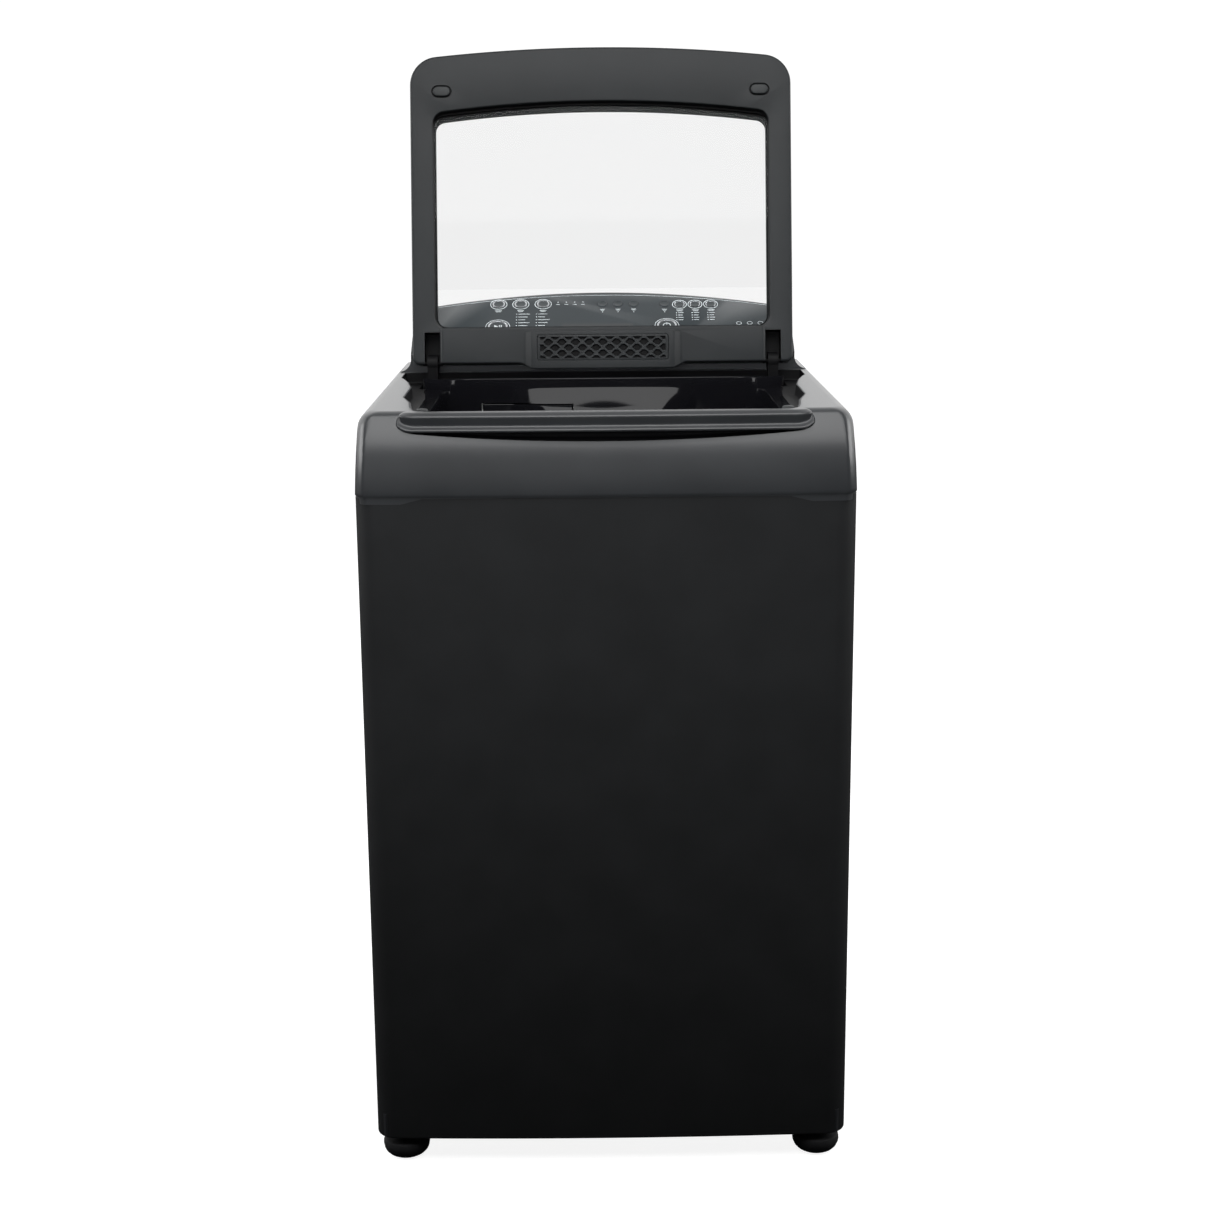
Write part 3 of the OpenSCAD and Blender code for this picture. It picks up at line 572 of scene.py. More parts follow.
def top_cover():
    """The moulded cover, and the rings of the well's rear wall, which the drawer's front continues."""
    c = np.array([0.0, FRONT + STAR_T])
    outer = plan(HALF_W, 0, BACK_T, 27, 20, 14)
    well = plan(*WELL, 14)
    bends = [(x, t) for t, w in ((116, 219), (168, 231), (262, 230), (TROUGH_T0, TROUGH_W),
                                 (TROUGH_T1 + 2, TROUGH_W)) for x in (-w, w)]
    helpers = [outer, plan(HALF_W - 21, 37, BACK_T - 12, 26, 14, 8), well, plan(*RECESS, 8),
               plan(261, 396, 430, 3, 3, 3), at(bends), at([(x, 30) for x in np.linspace(-232, 232, 93)])]
    a = star_angles(c, helpers, 300, 0.0022)
    cosa = np.cos(a)

    # outer surface as level slices, read at any height
    levels = np.concatenate([np.linspace(SEAM, DECK - 20, 36),
                             DECK - 20 * np.linspace(1, 0, 40)[1:] ** 1.7])
    slices = []
    for z in levels:
        front, side, rear = roll_t(z), side_inset(z), edge_inset(z, 12)
        outline = plan(HALF_W - side, front, BACK_T - rear, 27 - 0.3 * side, 20 - 0.3 * rear, 14)
        slices.append(np.minimum(reach(outline, c, a), circle_reach(FRONT + front + BOW, BOW, c, a)))
    slices = np.array(slices)

    def skin(z):
        return np.array([np.interp(z[i], levels, slices[:, i]) for i in range(len(a))])

    rings = []

    def add(*places):
        for r, z in places:
            rings.append(ring(c, a, r, z))

    r0 = slices[0]
    x0 = r0 * np.sin(a)
    past = ((np.abs(x0) - GROOVE_W) / 31).clip(0, 1)
    open_w = np.where(cosa > 0.5, np.sqrt(1 - past ** 2), 0)
    rise = 9.3 * (x0 / 234).clip(-1, 1) ** 2      # the lower edge of the groove sags in the middle
    recess = recess_reach(c, a)
    well_r = reach(well, c, a)

    # finger groove and lip in the middle of the front, as (t, distance under the deck, radius)
    groove = filleted([(t, DECK - down, r) for t, down, r in (
        (10.3, 31, 0), (11.6, 32, 0.8), (27, 29.5, 2.5), (28, 23.5, 2), (12.8, 21, 1.3), (12.2, 18.8, 1.5),
        (17.6, 14.6, 1.8), (14.6, 4.4, 2.2), (20.5, 0, 2), (29.5, 0, 0))], 5)
    groove = resample(groove, 52)
    depth = groove[:, 0] - roll_t(np.minimum(groove[:, 1], DECK))
    sag = ((DECK - 21 - groove[:, 1]) / 10).clip(0, 1)
    edge_z = groove[0, 1] + rise
    plain_z0 = DECK - 7.0

    n_low = 26
    for j in range(n_low):
        top = plain_z0 + (edge_z - plain_z0) * open_w
        z = SEAM + (top - SEAM) * (j / n_low) ** 0.9
        add((skin(z) - (0.9 if j == 0 else 0), z))
        if j == 0:
            add((skin(z), z + 1.0))
    front_end = np.where((cosa > 0.5) & (np.abs(x0) < 214), DECK - 0.25, DECK)
    for j in range(len(groove)):
        s = j / (len(groove) - 1)
        plain = plain_z0 + (front_end - plain_z0) * (1 - (1 - s) ** 1.8)
        last_z = (1 - open_w) * plain + open_w * (groove[j, 1] + sag[j] * rise)
        last_r = skin(last_z) - open_w * depth[j] / np.maximum(cosa, 0.4)
        add((last_r, last_z))
    edge = np.minimum(recess, last_r - 1.2)
    add(*((last_r + (edge + 1.0 - last_r) * s, last_z + (DECK - last_z) * s) for s in (0.3, 0.65, 0.94)))
    n_outer = len(rings)
    # rounded edge of the recess, its wall and pan
    add(*((edge + dr, DECK - dz) for dr, dz in (
        (0.5, 0.15), (0.12, 0.5), (0, 1.1), (-0.5, 11.5), (-0.9, 12.8), (-2.2, 13.8))))

    # trough behind the well, only where rays pass through it
    trough = reach(at([(-TROUGH_W, 100), (TROUGH_W, 100), (TROUGH_W, TROUGH_T1), (-TROUGH_W, TROUGH_T1)]),
                   c, a)
    behind = cosa < 0
    start = np.where(behind, (TROUGH_T0 - STAR_T) / np.maximum(-cosa, 1e-6), 1e9)
    end = np.minimum(trough, edge - 2.6)
    deep = smooth((end - start - 1) / 6) * behind
    middle = (edge + well_r) / 2
    t_in = np.maximum(np.where(deep > 0, start, middle), well_r + 3.2)
    t_out = np.minimum(np.maximum(np.where(deep > 0, end, middle + 0.6), well_r + 3.9), edge - 2.5)
    t_in = np.minimum(t_in, t_out - 0.4)
    rim = PAN_Z + 13 * smooth(deep)
    lean = SCOOP_DEPTH * (cosa < -0.3) * smooth((SCOOP_W - np.abs(well_r * np.sin(a))) / 40)
    floor = PAN_Z - TROUGH_DEPTH * deep
    add((t_out, PAN_Z - 0.2 * deep), (t_out - 0.12, floor + 0.4 * deep), (t_in + 0.12, floor + 0.2 * deep),
        (t_in, rim - 0.6 * deep), (t_in - 0.15, rim - 0.1 * deep))

    # rounded edge of the well, its wall, the funnel and the mouth
    def cone(r, lift=0.0):
        p = ring(c, a, r, 0)
        d = np.hypot(p[:, 0], p[:, 1] - (FRONT + WASH_T))
        return SEAM + 16 + (d - MOUTH_R).clip(0) * FUNNEL_RISE + lift

    mouth = np.minimum(circle_reach(FRONT + WASH_T, MOUTH_R, c, a), well_r - 0.8 - lean)
    wall_r = np.maximum(well_r - 1.6 - lean, mouth + 0.1)
    add(*((well_r + dr, rim - dz) for dr, dz in ((1.6, 0), (0.6, 0.25), (0.1, 0.9), (-0.15, 2.0))))
    n_wall = len(rings) - 1
    foot_z = cone(wall_r)
    for s in (0.13, 0.17, 0.45, 0.75, 0.93):
        slope = lean * min(max(s - 0.15, 0) / 0.6, 1)
        add((well_r - 0.3 - 1.2 * s - slope, rim - 2 + (foot_z + 1.5 - rim + 2) * s))
    for s in (0.02, 0.06, 0.15, 0.3, 0.5, 0.7, 0.85, 0.95):
        r = wall_r - (wall_r - mouth) * s
        add((r, cone(r) + 2.2 * (1 - s) ** 14))
    add((mouth + 0.02, cone(mouth) - 0.6), (mouth, SEAM + 12.5))
    n_inner = len(rings)

    # underside
    under = PAN_Z - 5
    under_trough = under - TROUGH_DEPTH * deep
    add((mouth + 1.6, SEAM + 12), (mouth + 3.4, SEAM + 12.8),
        (np.maximum(wall_r + 3, mouth + 3.8), cone(wall_r + 3, -3.4)), (well_r + 3.0, under),
        (t_in - 0.05, under), (t_in + 0.05, under_trough), (t_out + 0.15, under_trough),
        (t_out + 0.3, under), (edge + 1.0, under - 0.5))
    outside = [np.linalg.norm(g[:, :2] - c, axis=1) for g in rings[n_low // 2:n_low + 30]]
    shell = np.maximum(np.min(outside, 0) - 3.2, edge + 1.2)
    add((shell, PAN_Z - 10), (np.maximum(shell, edge + 1.3), SEAM + 40))
    # skirt that hangs inside the cabinet and closes the seam to light
    add(*((r0 - inset, SEAM + dz) for inset, dz in ((5.2, 20), (5.2, -8), (3.4, -8), (3.2, 0.2))))
    # The recess's rounded edge, wall and pan and the trough take matte black as painted shade under the lid.
    n_pan = n_outer + 10
    index = ([0] * (n_outer + 1) + [2] * (n_pan - n_outer - 1) + [1] * (n_inner - n_pan)
             + [0] * (len(rings) - n_inner))
    cover = loft("top_cover_shell", rings, [M["satin"], M["gloss"], M["black"]], index=index, sharp=50)
    lo, hi = DRAWER_LO - DRAWER_GAP, DRAWER_HI + DRAWER_GAP
    drawer_mouth = block("mouth", (lo[0], FRONT + 315, lo[2]), (hi[0], FRONT + 378, hi[2]), M["gloss"])
    shade(cut(cover, drawer_mouth), 50)
    tint(cover, 2, lambda x, y, z: (                                   # the groove's hollow, matte black as painted shade
        abs(x) < 236 and y < FRONT + 40 and SEAM + 40 < z < DECK - 21.2
        and y - FRONT > roll_t(z) + x * x / (2 * BOW) + 1.5))
    return cover, np.array(rings[n_wall:n_wall + 7])


DRAWER_LO, DRAWER_HI = box_mm("detergent_drawer")
DRAWER_GAP = 1.4
COVER_SHELL, WELL_WALL = top_cover()
put(COVER_SHELL, "cabinet_body", "graphite_plastic", "top_cover")


# ---------- detergent drawer, whose front continues the well's rear wall ----------

def eased(lo, hi, n):
    """Places from lo to hi, close together at both ends, where an edge is rounded."""
    near = np.array([0, 0.3, 1.2])
    return np.concatenate([lo + near, np.linspace(lo + 3, hi - 3, n), hi - near[::-1]])


def drawer():
    (x0, y0, z0), (x1, y1, z1) = DRAWER_LO, DRAWER_HI
    rear_wall = WELL_WALL[:, WELL_WALL[0, :, 1] > FRONT + 320]
    xs = eased(x0, x1, 50)

    def edge(d):
        return 1.2 * (1 - np.sqrt(1 - (1 - d / 1.2).clip(0, 1) ** 2))

    rings = []
    for z in eased(z0, z1, 12):
        wall = np.array([[np.interp(-z, -line[:, 2], line[:, k]) for k in (0, 1)]
                         for line in rear_wall.transpose(1, 0, 2)])
        wall = wall[np.argsort(wall[:, 0])]
        y = (np.interp(xs, wall[:, 0], wall[:, 1]) + edge(np.minimum(xs - x0, x1 - xs))
             + edge(np.array(min(z - z0, z1 - z))))
        rings.append(level(np.concatenate([np.stack([xs, y], 1), [(x1, y0 + 3.4), (x0, y0 + 3.4)]]), z))
    front = loft("front", rings, M["gloss"], capped=True)
    tray = block("tray", (x0 + 1, y0 + 2.6, z0 + 0.2), (x1 - 1, y1, z1 - 3), M["lid"], 1.5)
    ya, yb, yc = y0 + 7, y0 + 127, y0 + 131
    pockets = [block("pocket", (p0, q0, z0 + 3), (p1, q1, z1 + 20), M["lid"], 4)
               for p0, p1, q0, q1 in ((x0 + 4, x0 + 66, ya, yb), (x0 + 70, x1 - 4, ya, yb),
                                      (x0 + 4, x1 - 4, yc, yc + 29))]
    return join("detergent_drawer_tray", [front, cut(tray, *pockets)])


put(drawer(), "drawer", "graphite_plastic", "detergent_drawer")


# ---------- control console ----------

JOINTS = {j["name"]: j for j in frame["joints"]}
PRESS = JOINTS["button_power_press"]
SLOPE = math.atan2(PRESS["axis"][1], -PRESS["axis"][2])
PANEL_T0, PANEL_Z0 = 436.0, 903.0
PANEL = Matrix.Translation((0, (FRONT + PANEL_T0) * MM, PANEL_Z0 * MM)) @ Matrix.Rotation(SLOPE, 4, "X")
HOUSING_TOP = box_mm("console_housing")[1][2]


def console_section(limit, inset, floor):
    """Side section [(t, z)] of the console, cut off above a height."""
    rise = math.tan(SLOPE)
    t0, t1 = PANEL_T0 + inset, BACK_T - inset
    base = PANEL_Z0 - 0.6 * inset
    top = min(limit, base + (t1 - 6 - t0) * rise)
    front = min(base, top - 0.2)
    t_top = t0 + max(top - base, 0) / rise
    soft = 3.0 if inset == 0 else 0.5
    return filleted([(t0, floor, 0), (t0, front, soft), (max(t_top, t0 + 0.5), top, soft),
                     (t1, top - 0.3, soft * 1.5), (t1, floor, 0)], 6)


def console_body(name, inset, floor):
    """The console lofted along X. Its flanks run out into a concave foot on the deck."""
    hw = 246.0 - inset
    arch, edge, foot_r = 1500.0, 8.0, 16.0

    def crown(x):
        return HOUSING_TOP - inset - arch + math.sqrt(arch ** 2 - x * x)

    stations = [(x, crown(x)) for x in np.linspace(0, hw - edge, 22)]
    stations += [(hw - edge + edge * math.sin(a), crown(hw) - edge + edge * math.cos(a))
                 for a in np.radians(np.linspace(12, 90, 7))]
    if inset == 0:
        stations += [(hw, z) for z in np.linspace(crown(hw) - 12, DECK + 20, 5)]
        stations += [(hw + out, DECK + foot_r + 0.5 - down) for out, down in quarter(foot_r, 9, 86)]
    stations = [(-x, z) for x, z in stations[::-1]] + stations[1:]
    rings = []
    for x, z in stations:
        p = console_section(z, inset, floor)
        rings.append(np.column_stack([np.full(len(p), x), p[:, 0] + FRONT, p[:, 1]]))
    return loft(name, rings, M["satin"], capped=True)


def arched(hw, s0, s1):
    """Outline of the control panel on its slope."""
    corner, arch = 10.0, 935.0
    base = rounded_rect(hw, s0, s1 + 60, corner, 2)
    c = np.array([0.0, (s0 + s1) / 2])
    a = star_angles(c, [base, level(np.linspace(-hw, hw, 48), s1 - 8.0)], 96, 0.004)
    r = np.minimum(reach(base, c, a), circle_reach(s1 - arch, arch, c, a))
    return np.stack([c[0] + r * np.sin(a), c[1] - r * np.cos(a)], 1)


put(cut(console_body("console_shell", 0, DECK - 0.1), console_body("hollow", 3, DECK - 8),
        prism("opening", arched(222, 12, 124.5), -20, 10, M["satin"], place=PANEL),
        block("rear_opening", (-216, BACK - 10, DECK + 6), (216, BACK + 10, DECK + 68), M["satin"])),
    "cabinet_body", "graphite_plastic", "console_housing")

PRINT_Z = 2.5                             # the panel's printed face, over the console's slope
PRINT_H = 0.12
CAP_PRINT_Z = 3.1                         # in the dish of a cap
BUTTONS = []                              # name, middle on the panel, radius, lower end of the stem
INTO_PANEL = PANEL.inverted()
for node in sorted(NODES):
    if node.startswith("button_"):
        pts = np.array([INTO_PANEL @ v.co for v in NODES[node].data.vertices]) / MM
        cap = pts[pts[:, 2] > PRINT_Z]
        (x, s), r = (cap.min(0) + cap.max(0))[:2] / 2, np.ptp(cap[:, 0]) / 2
        BUTTONS.append((node, x, s, r, pts[:, 2].min()))


def panel_plate():
    plate = prism("panel_plate", arched(232, 6, 127), 0.0, PRINT_Z, M["film"], round_top=0.9)
    holes = [lathe("hole", [(0, -2), (r + 0.4, -2), (r + 0.4, 6), (0, 6)], M["film"], 48, (x, s))
             for _, x, s, r, _ in BUTTONS]
    holes.append(block("hole", (-52, 26, -2), (40, 60, 6), M["film"]))
    return moved(cut(plate, join("holes", holes)), PANEL)


put(panel_plate(), "cabinet_body", "panel_film", "control_panel")


def button(node, x, s, r, low):
    """A dished cap in a rim, chrome on the program, level, start and power keys, with its flange and stem."""
    rim = 0.9 if r < 8 else 1.5
    top = 3.5
    profile = [(0, low), (2.1, low), (2.5, low + 0.5), (2.5, -2.0), (r + 1.0, -2.0), (r + 1.2, -1.8),
               (r + 1.2, -0.4), (r + 1.0, -0.2), (r, -0.2), (r, top - 0.7), (r - 0.25, top - 0.2),
               (r - 0.7, top), (r - rim + 0.2, top - 0.05), (r - rim, top - 0.5)]
    n_rim = len(profile)
    profile += [((r - rim) * q, top - 0.42 - 0.55 * (1 - q * q)) for q in np.linspace(0.92, 0.12, 7)]
    profile.append((0, top - 0.98))
    look = [0] * 8 + [1] * (n_rim - 8) + [2] * (len(profile) - n_rim)
    bright = node.startswith(("button_program", "button_level", "button_start", "button_power"))
    cap = M["cap"] if node.startswith("button_program") else M["cap_dark"]
    mats = [M["dark"], M["chrome"] if bright else M["cap_dark"], cap]
    return moved(lathe(node.replace("button_", "cap_"), profile, mats, 56, (x, s), index=look), PANEL)


for node, x, s, r, low in BUTTONS:
    put(button(node, x, s, r, low), node + "_key", "button_cap", node)


def flat(outline, z=PRINT_Z):
    return prism("mark", outline, z, z + PRINT_H, M["ink"])


def bar(x, s, w, h, z=PRINT_Z):
    return flat([(x, s), (x + w, s), (x + w, s + h), (x, s + h)], z)


def circle_mark(x, s, r0, r1, z=PRINT_Z):
    profile = [(r0, z), (r1, z), (r1, z + PRINT_H), (r0, z + PRINT_H)]
    return lathe("mark", profile, M["ink"], 56 if r0 else 20, (x, s))


def panel_print():
    """Rings, lamps, ticks and label bars: generic marks that stand for the printed legends."""
    marks = []
    spot = {n: (x, s, r) for n, x, s, r, _ in BUTTONS}
    for n, (x, s, r) in spot.items():
        ringed = n.startswith(("button_program", "button_level"))
        if ringed:
            marks.append(circle_mark(x, s, r + 1.8, r + 2.7))
        wide = 9 if ringed else 6.5
        if n not in ("button_start", "button_power"):
            marks.append(bar(x - wide / 2, s - r - 6.2, wide, 1.0))
            marks.append(bar(x - wide / 2 + 1.2, s - r - 8.4, wide - 2.4, 0.9))
    for n in ("button_start", "button_power"):
        x, s, r = spot[n]
        marks.append(circle_mark(x, s, r + 2.2, r + 3.0))
    # a ring with a stroke on the power button, a triangle and two strokes on the start button
    x, s, r = spot["button_power"]
    marks.append(circle_mark(x, s, r * 0.30, r * 0.40, CAP_PRINT_Z - 0.04))
    marks.append(bar(x - 0.5, s + 1.0, 1.0, r * 0.42, CAP_PRINT_Z))
    x, s, r = spot["button_start"]
    marks.append(flat([(x - 4.6, s - 3.2), (x + 0.6, s), (x - 4.6, s + 3.2)], CAP_PRINT_Z))
    marks += [bar(x + dx, s - 3.0, 1.3, 6.0, CAP_PRINT_Z) for dx in (1.6, 4.0)]
    # lamps: a row of four steps between the groups, and a column under each level button
    for i in range(4):
        marks.append(circle_mark(-58 + 11 * i, 108, 0, 0.95))
        marks.append(bar(-60.5 + 11 * i, 102.5, 5, 0.9))
    for n in ("button_level_1", "button_level_2", "button_level_3"):
        x, s, r = spot[n]
        for i in range(4):
            marks.append(circle_mark(x - 4.6, s - 19 - 5.2 * i, 0, 0.8))
            marks.append(bar(x - 2.4, s - 19.4 - 5.2 * i, 7.0 - i % 2, 0.9))
    for n in ("button_option_1", "button_option_2", "button_option_3", "button_delay"):
        x, s, r = spot[n]
        marks.append(circle_mark(x, s - r - 11.6, 0, 0.8))
    # program list beside the start button, in two columns
    for col, x in ((0, -112), (1, -86)):
        for i in range(5):
            marks.append(circle_mark(x, 82 - 6.4 * i, 0, 0.8))
            marks.append(bar(x + 2.4, 81.5 - 6.4 * i, 15 - 3 * ((i + col) % 3), 0.95))
    # three small rings with a bar under each, at the right
    for x in (178, 192, 206):
        marks.append(circle_mark(x, 58, 3.0, 3.6))
        marks.append(bar(x - 3.4, 48.5, 6.8, 0.9))
    # thin frame line near the panel's arched edge
    edge = arched(228, 9, 123.6)
    c = edge.mean(0)
    angles = star_angles(c, [edge], 160, 0.003)
    outer, inner = reach(edge, c, angles), reach(arched(227.4, 9.6, 123.0), c, angles)
    line = [(inner, PRINT_Z), (outer, PRINT_Z), (outer, PRINT_Z + 0.1), (inner, PRINT_Z + 0.1)]
    marks.append(loft("mark", [ring(c, angles, r, z) for r, z in line], M["ink"]))
    return moved(join("panel_marks", marks), PANEL)


def digits():
    """Time left, in seven-segment figures on the display."""
    w, h, t, lean = 10.0, 17.0, 1.9, 0.12
    upper, tall = h / 2 + 0.6, h / 2 - 1.2
    segments = {"a": (t, h - t, w - 2 * t, t), "b": (w - t, upper, t, tall), "c": (w - t, 0.6, t, tall),
                "d": (t, 0, w - 2 * t, t), "e": (0, 0.6, t, tall), "f": (0, upper, t, tall),
                "g": (t, h / 2 - t / 2, w - 2 * t, t)}
    foot_y = 33.0
    places = []
    for x, lit in ((-22, "abcdef"), (2, "bcfg"), (20, "abcdefg")):          # 0, 4 and 8
        for key in lit:
            dx, dy, wide, high = segments[key]
            places.append((x + dx, foot_y + dy, wide, high))
    places += [(-5.5, y, 1.8, 1.8) for y in (37.5, 44.0)]
    parts = []
    for x, y, wide, high in places:
        top = y + high
        parts.append(prism("seg", [(x + y * lean, y), (x + wide + y * lean, y), (x + wide + top * lean, top),
                                   (x + top * lean, top)], PRINT_Z, PRINT_Z + 0.1, M["segment"]))
    return moved(join("display_figures", parts), PANEL)


put(panel_print(), "cabinet_body", "panel_film")
put(digits(), "cabinet_body", "display_lens")


# ---------- lid ----------

HINGE = JOINTS["lid_hinge"]
LID_OPEN = math.radians(HINGE["range_deg"][1])
LID = Matrix.Translation(Vector(HINGE["pos_m"])) @ Matrix.Rotation(-LID_OPEN, 4, "X")
LID_C = np.array([0.0, -190.0])           # the lid's rings are laid round this point
LID_SEAM, LID_UNDER, LID_TOP, GLASS_N = -1.0, -11.0, 15.0, 3.0          # levels over the hinge axis
LID_W, LID_REAR, LID_FRONT, LID_BOW = 241, 2, -397, 2040
LID_CORNER, LID_REAR_CORNER = 36, 8
SLOT_X = 216                              # the hinge posts' slots
BUFFER_X, BUFFER_Y = 201, -342


def bowed_front(hw, y_rear, y_front, corner, rear, bow):
    """Outline whose front side is an arc that runs into round corners."""
    n = 14
    mid = y_front + bow
    turn = math.asin((hw - corner) / (bow - corner))
    cy = mid - (bow - corner) * math.cos(turn)
    side = arc(hw - corner, cy, corner, -90 + math.degrees(turn), 0, n)
    front = arc(0, mid, bow, -90 - math.degrees(turn), -90 + math.degrees(turn), 4 * n)[1:-1]
    back = arc(hw - rear, y_rear - rear, rear, 0, 90, 6)
    return np.concatenate([front, side, back, back[::-1] * (-1, 1), side[::-1] * (-1, 1)])


def lid_window(hw, s0, s1, corner):
    """Outline of an opening between s0 and s1 in front of the hinge, in the closed lid's own axes."""
    return bowed_front(hw, -s0, -s1, corner, corner, 1600)


lid_angles = star_angles(LID_C, [
    bowed_front(LID_W, LID_REAR, LID_FRONT, LID_CORNER, LID_REAR_CORNER, LID_BOW),
    lid_window(212, 43, 328.7, 15), lid_window(210, 46, 320, 13),
    level(np.linspace(-205, 205, 60), -44.0)], 200, 0.003)


def lid_rings(places):
    return [ring(LID_C, lid_angles, r, n) for r, n in places]


def lid_outline(inset=0.0):
    path = bowed_front(LID_W - inset, LID_REAR - inset, LID_FRONT + inset, LID_CORNER - inset,
                       LID_REAR_CORNER - inset * 0.6, LID_BOW)
    return reach(path, LID_C, lid_angles)


def lid_opening(hw, s0, s1, corner):
    """The window's reach as a function of how far it is grown."""
    return lambda g: reach(lid_window(hw + g, s0 - g, s1 + g, corner + g), LID_C, lid_angles)


def lid_slots(n0, n1):
    return [block("slot", (x - 9.75, -38, n0), (x + 9.75, 30, n1), M["lid"]) for x in (-SLOT_X, SLOT_X)]


# Faces in the hinge slots, which get matte black as painted shade.
def in_slot(x, y, z):
    return abs(abs(x) - SLOT_X) < 10.5 and y > -38.5 and LID_UNDER + 0.5 < z < 12.5


def lid_skin():
    window = lid_opening(210, 46, 320, 13)
    seat = reach(lid_window(214.3, 35.7, 326, 16), LID_C, lid_angles)
    rings = lid_rings(
        [(lid_outline(0.3), LID_SEAM + 0.05), (lid_outline(), LID_SEAM + 0.5), (lid_outline(), 4)]
        + [(lid_outline(inset), 9 + rise) for inset, rise in quarter(6, 8)]
        + [(window(1.6), LID_TOP), (window(0.5), LID_TOP - 0.4), (window(0), LID_TOP - 1.5),
           (window(0), GLASS_N + 0.05), (seat, GLASS_N + 0.05), (seat, LID_SEAM + 0.05)])
    # The window's reveal and the glass seat are matte black: painted shade on the wall that faces down when
    # the lid stands open.
    index = [0] * (len(rings) - 4) + [1] * 4
    skin = loft("lid_skin", rings, [M["satin"], M["black"]], index=index)
    # the slots' walls are tinted matte black as painted shade
    return tint(cut(skin, *lid_slots(LID_SEAM - 1, 12.3)), 1, in_slot)


def pill(x, y, length, width):
    a = (length - width) / 2
    return np.concatenate([arc(x + a, y, width / 2, -90, 90), arc(x - a, y, width / 2, 90, 270)])


def buffer_plates(name, length, width, n0, n1, mat, **more):
    return [prism(name, pill(x, BUFFER_Y, length, width), n0, n1, mat, **more) for x in (-BUFFER_X, BUFFER_X)]


def lid_lining():
    window = lid_opening(212, 43, 328.7, 15)
    rings = lid_rings(
        [(lid_outline(0.3), LID_SEAM - 0.05), (lid_outline(), LID_SEAM - 0.6),
         (lid_outline(), LID_UNDER + 3.5)]
        + [(lid_outline(inset), LID_UNDER + 3.2 - drop) for inset, drop in quarter(3.2, 7)]
        + [(window(2.4), LID_UNDER), (window(1.2), LID_UNDER + 0.35), (window(0.5), LID_UNDER + 1.2),
           (window(-0.6), LID_SEAM - 0.25), (window(-0.2), LID_SEAM - 0.05)])
    seats = buffer_plates("seat", 26, 16, LID_UNDER - 2, LID_UNDER + 2, M["lid"])
    # The window's edge on the underside is matte black too, painted shade.
    index = [0] * (len(rings) - 3) + [1] * 3
    lining = loft("lid_lining", rings, [M["lid"], M["black"]], index=index)
    # the slots' walls are tinted matte black as painted shade
    tint(cut(lining, *lid_slots(LID_UNDER - 2, 1), *seats), 1, in_slot)
    return tint(lining, 1, lambda x, y, z: (                           # the seats of the buffers, matte black as a painted shadow round each buffer
        abs(abs(x) - BUFFER_X) < 13.1 and abs(y - BUFFER_Y) < 8.1 and LID_UNDER + 0.1 < z < LID_UNDER + 2.2))


put(moved(lid_skin(), LID), "lid", "graphite_plastic", "lid_outer")
put(moved(lid_lining(), LID), "lid", "graphite_plastic", "lid_inner")
buffers = buffer_plates("buffer", 22, 12.5, LID_UNDER - 2, LID_UNDER + 1.9, M["pad"], round_bottom=1.8)
put(moved(join("lid_buffers", buffers), LID), "lid", "rubber", "lid_bumpers")


def inset_ring(outline, d):
    """An outline moved inwards by d."""
    u = outline - np.roll(outline, 1, 0)
    v = np.roll(outline, -1, 0) - outline
    nu, nv = [np.stack([-w[:, 1], w[:, 0]], 1) / np.linalg.norm(w, axis=1)[:, None] for w in (u, v)]
    return outline + (nu + nv) / (1 + (nu * nv).sum(1))[:, None] * d


def swept(name, outline, y0, y1, edge):
    """A section [(x, n)], counterclockwise, drawn along Y with rounded ends."""
    steps = [(edge - rise, along) for along, rise in quarter(edge, 5)]
    levels = [(inset, y0 + along) for inset, along in steps]
    levels += [(inset, y1 - along) for inset, along in steps[::-1]]
    rings = [level(inset_ring(outline, inset), y)[:, [0, 2, 1]] for inset, y in levels]
    return loft(name, rings, M["lid"], capped=True)


def lid_band():
    """The raised band along the hinge side and the vent block on it."""
    n0 = LID_UNDER + 0.2
    band = filleted([(-206, n0, 0), (-205, -20, 5), (205, -20, 5), (206, n0, 0)], 7)
    half = [(84, -28, 2), (90, -27.7, 3.2), (98, -20.3, 5), (108, -19.4, 1), (110, n0 - 2, 0)]
    block_path = filleted([(-x, n, r) for x, n, r in half[::-1]] + half, 7)
    body = swept("lid_band_body", band, -42.7, 2.3, 2.2)
    vent = swept("vent", block_path, -37, 11, 1.8)
    for v in vent.data.vertices:
        if v.co.y > 0:                       # the lower edge of the block curves up into the band
            v.co.y -= 0.0095 * float(smooth((abs(v.co.x) / MM - 86) / 22))
    boolean(body, "UNION", [vent])
    pocket = prism("pocket", rounded_rect(83, -32, 0.5, 4, 4, 5), -30, -24, M["lid"])
    deep = prism("deep", rounded_rect(79.5, -29.5, -2.5, 2, 2, 4), -26, -18, M["dark"])
    return cut(body, pocket, deep)


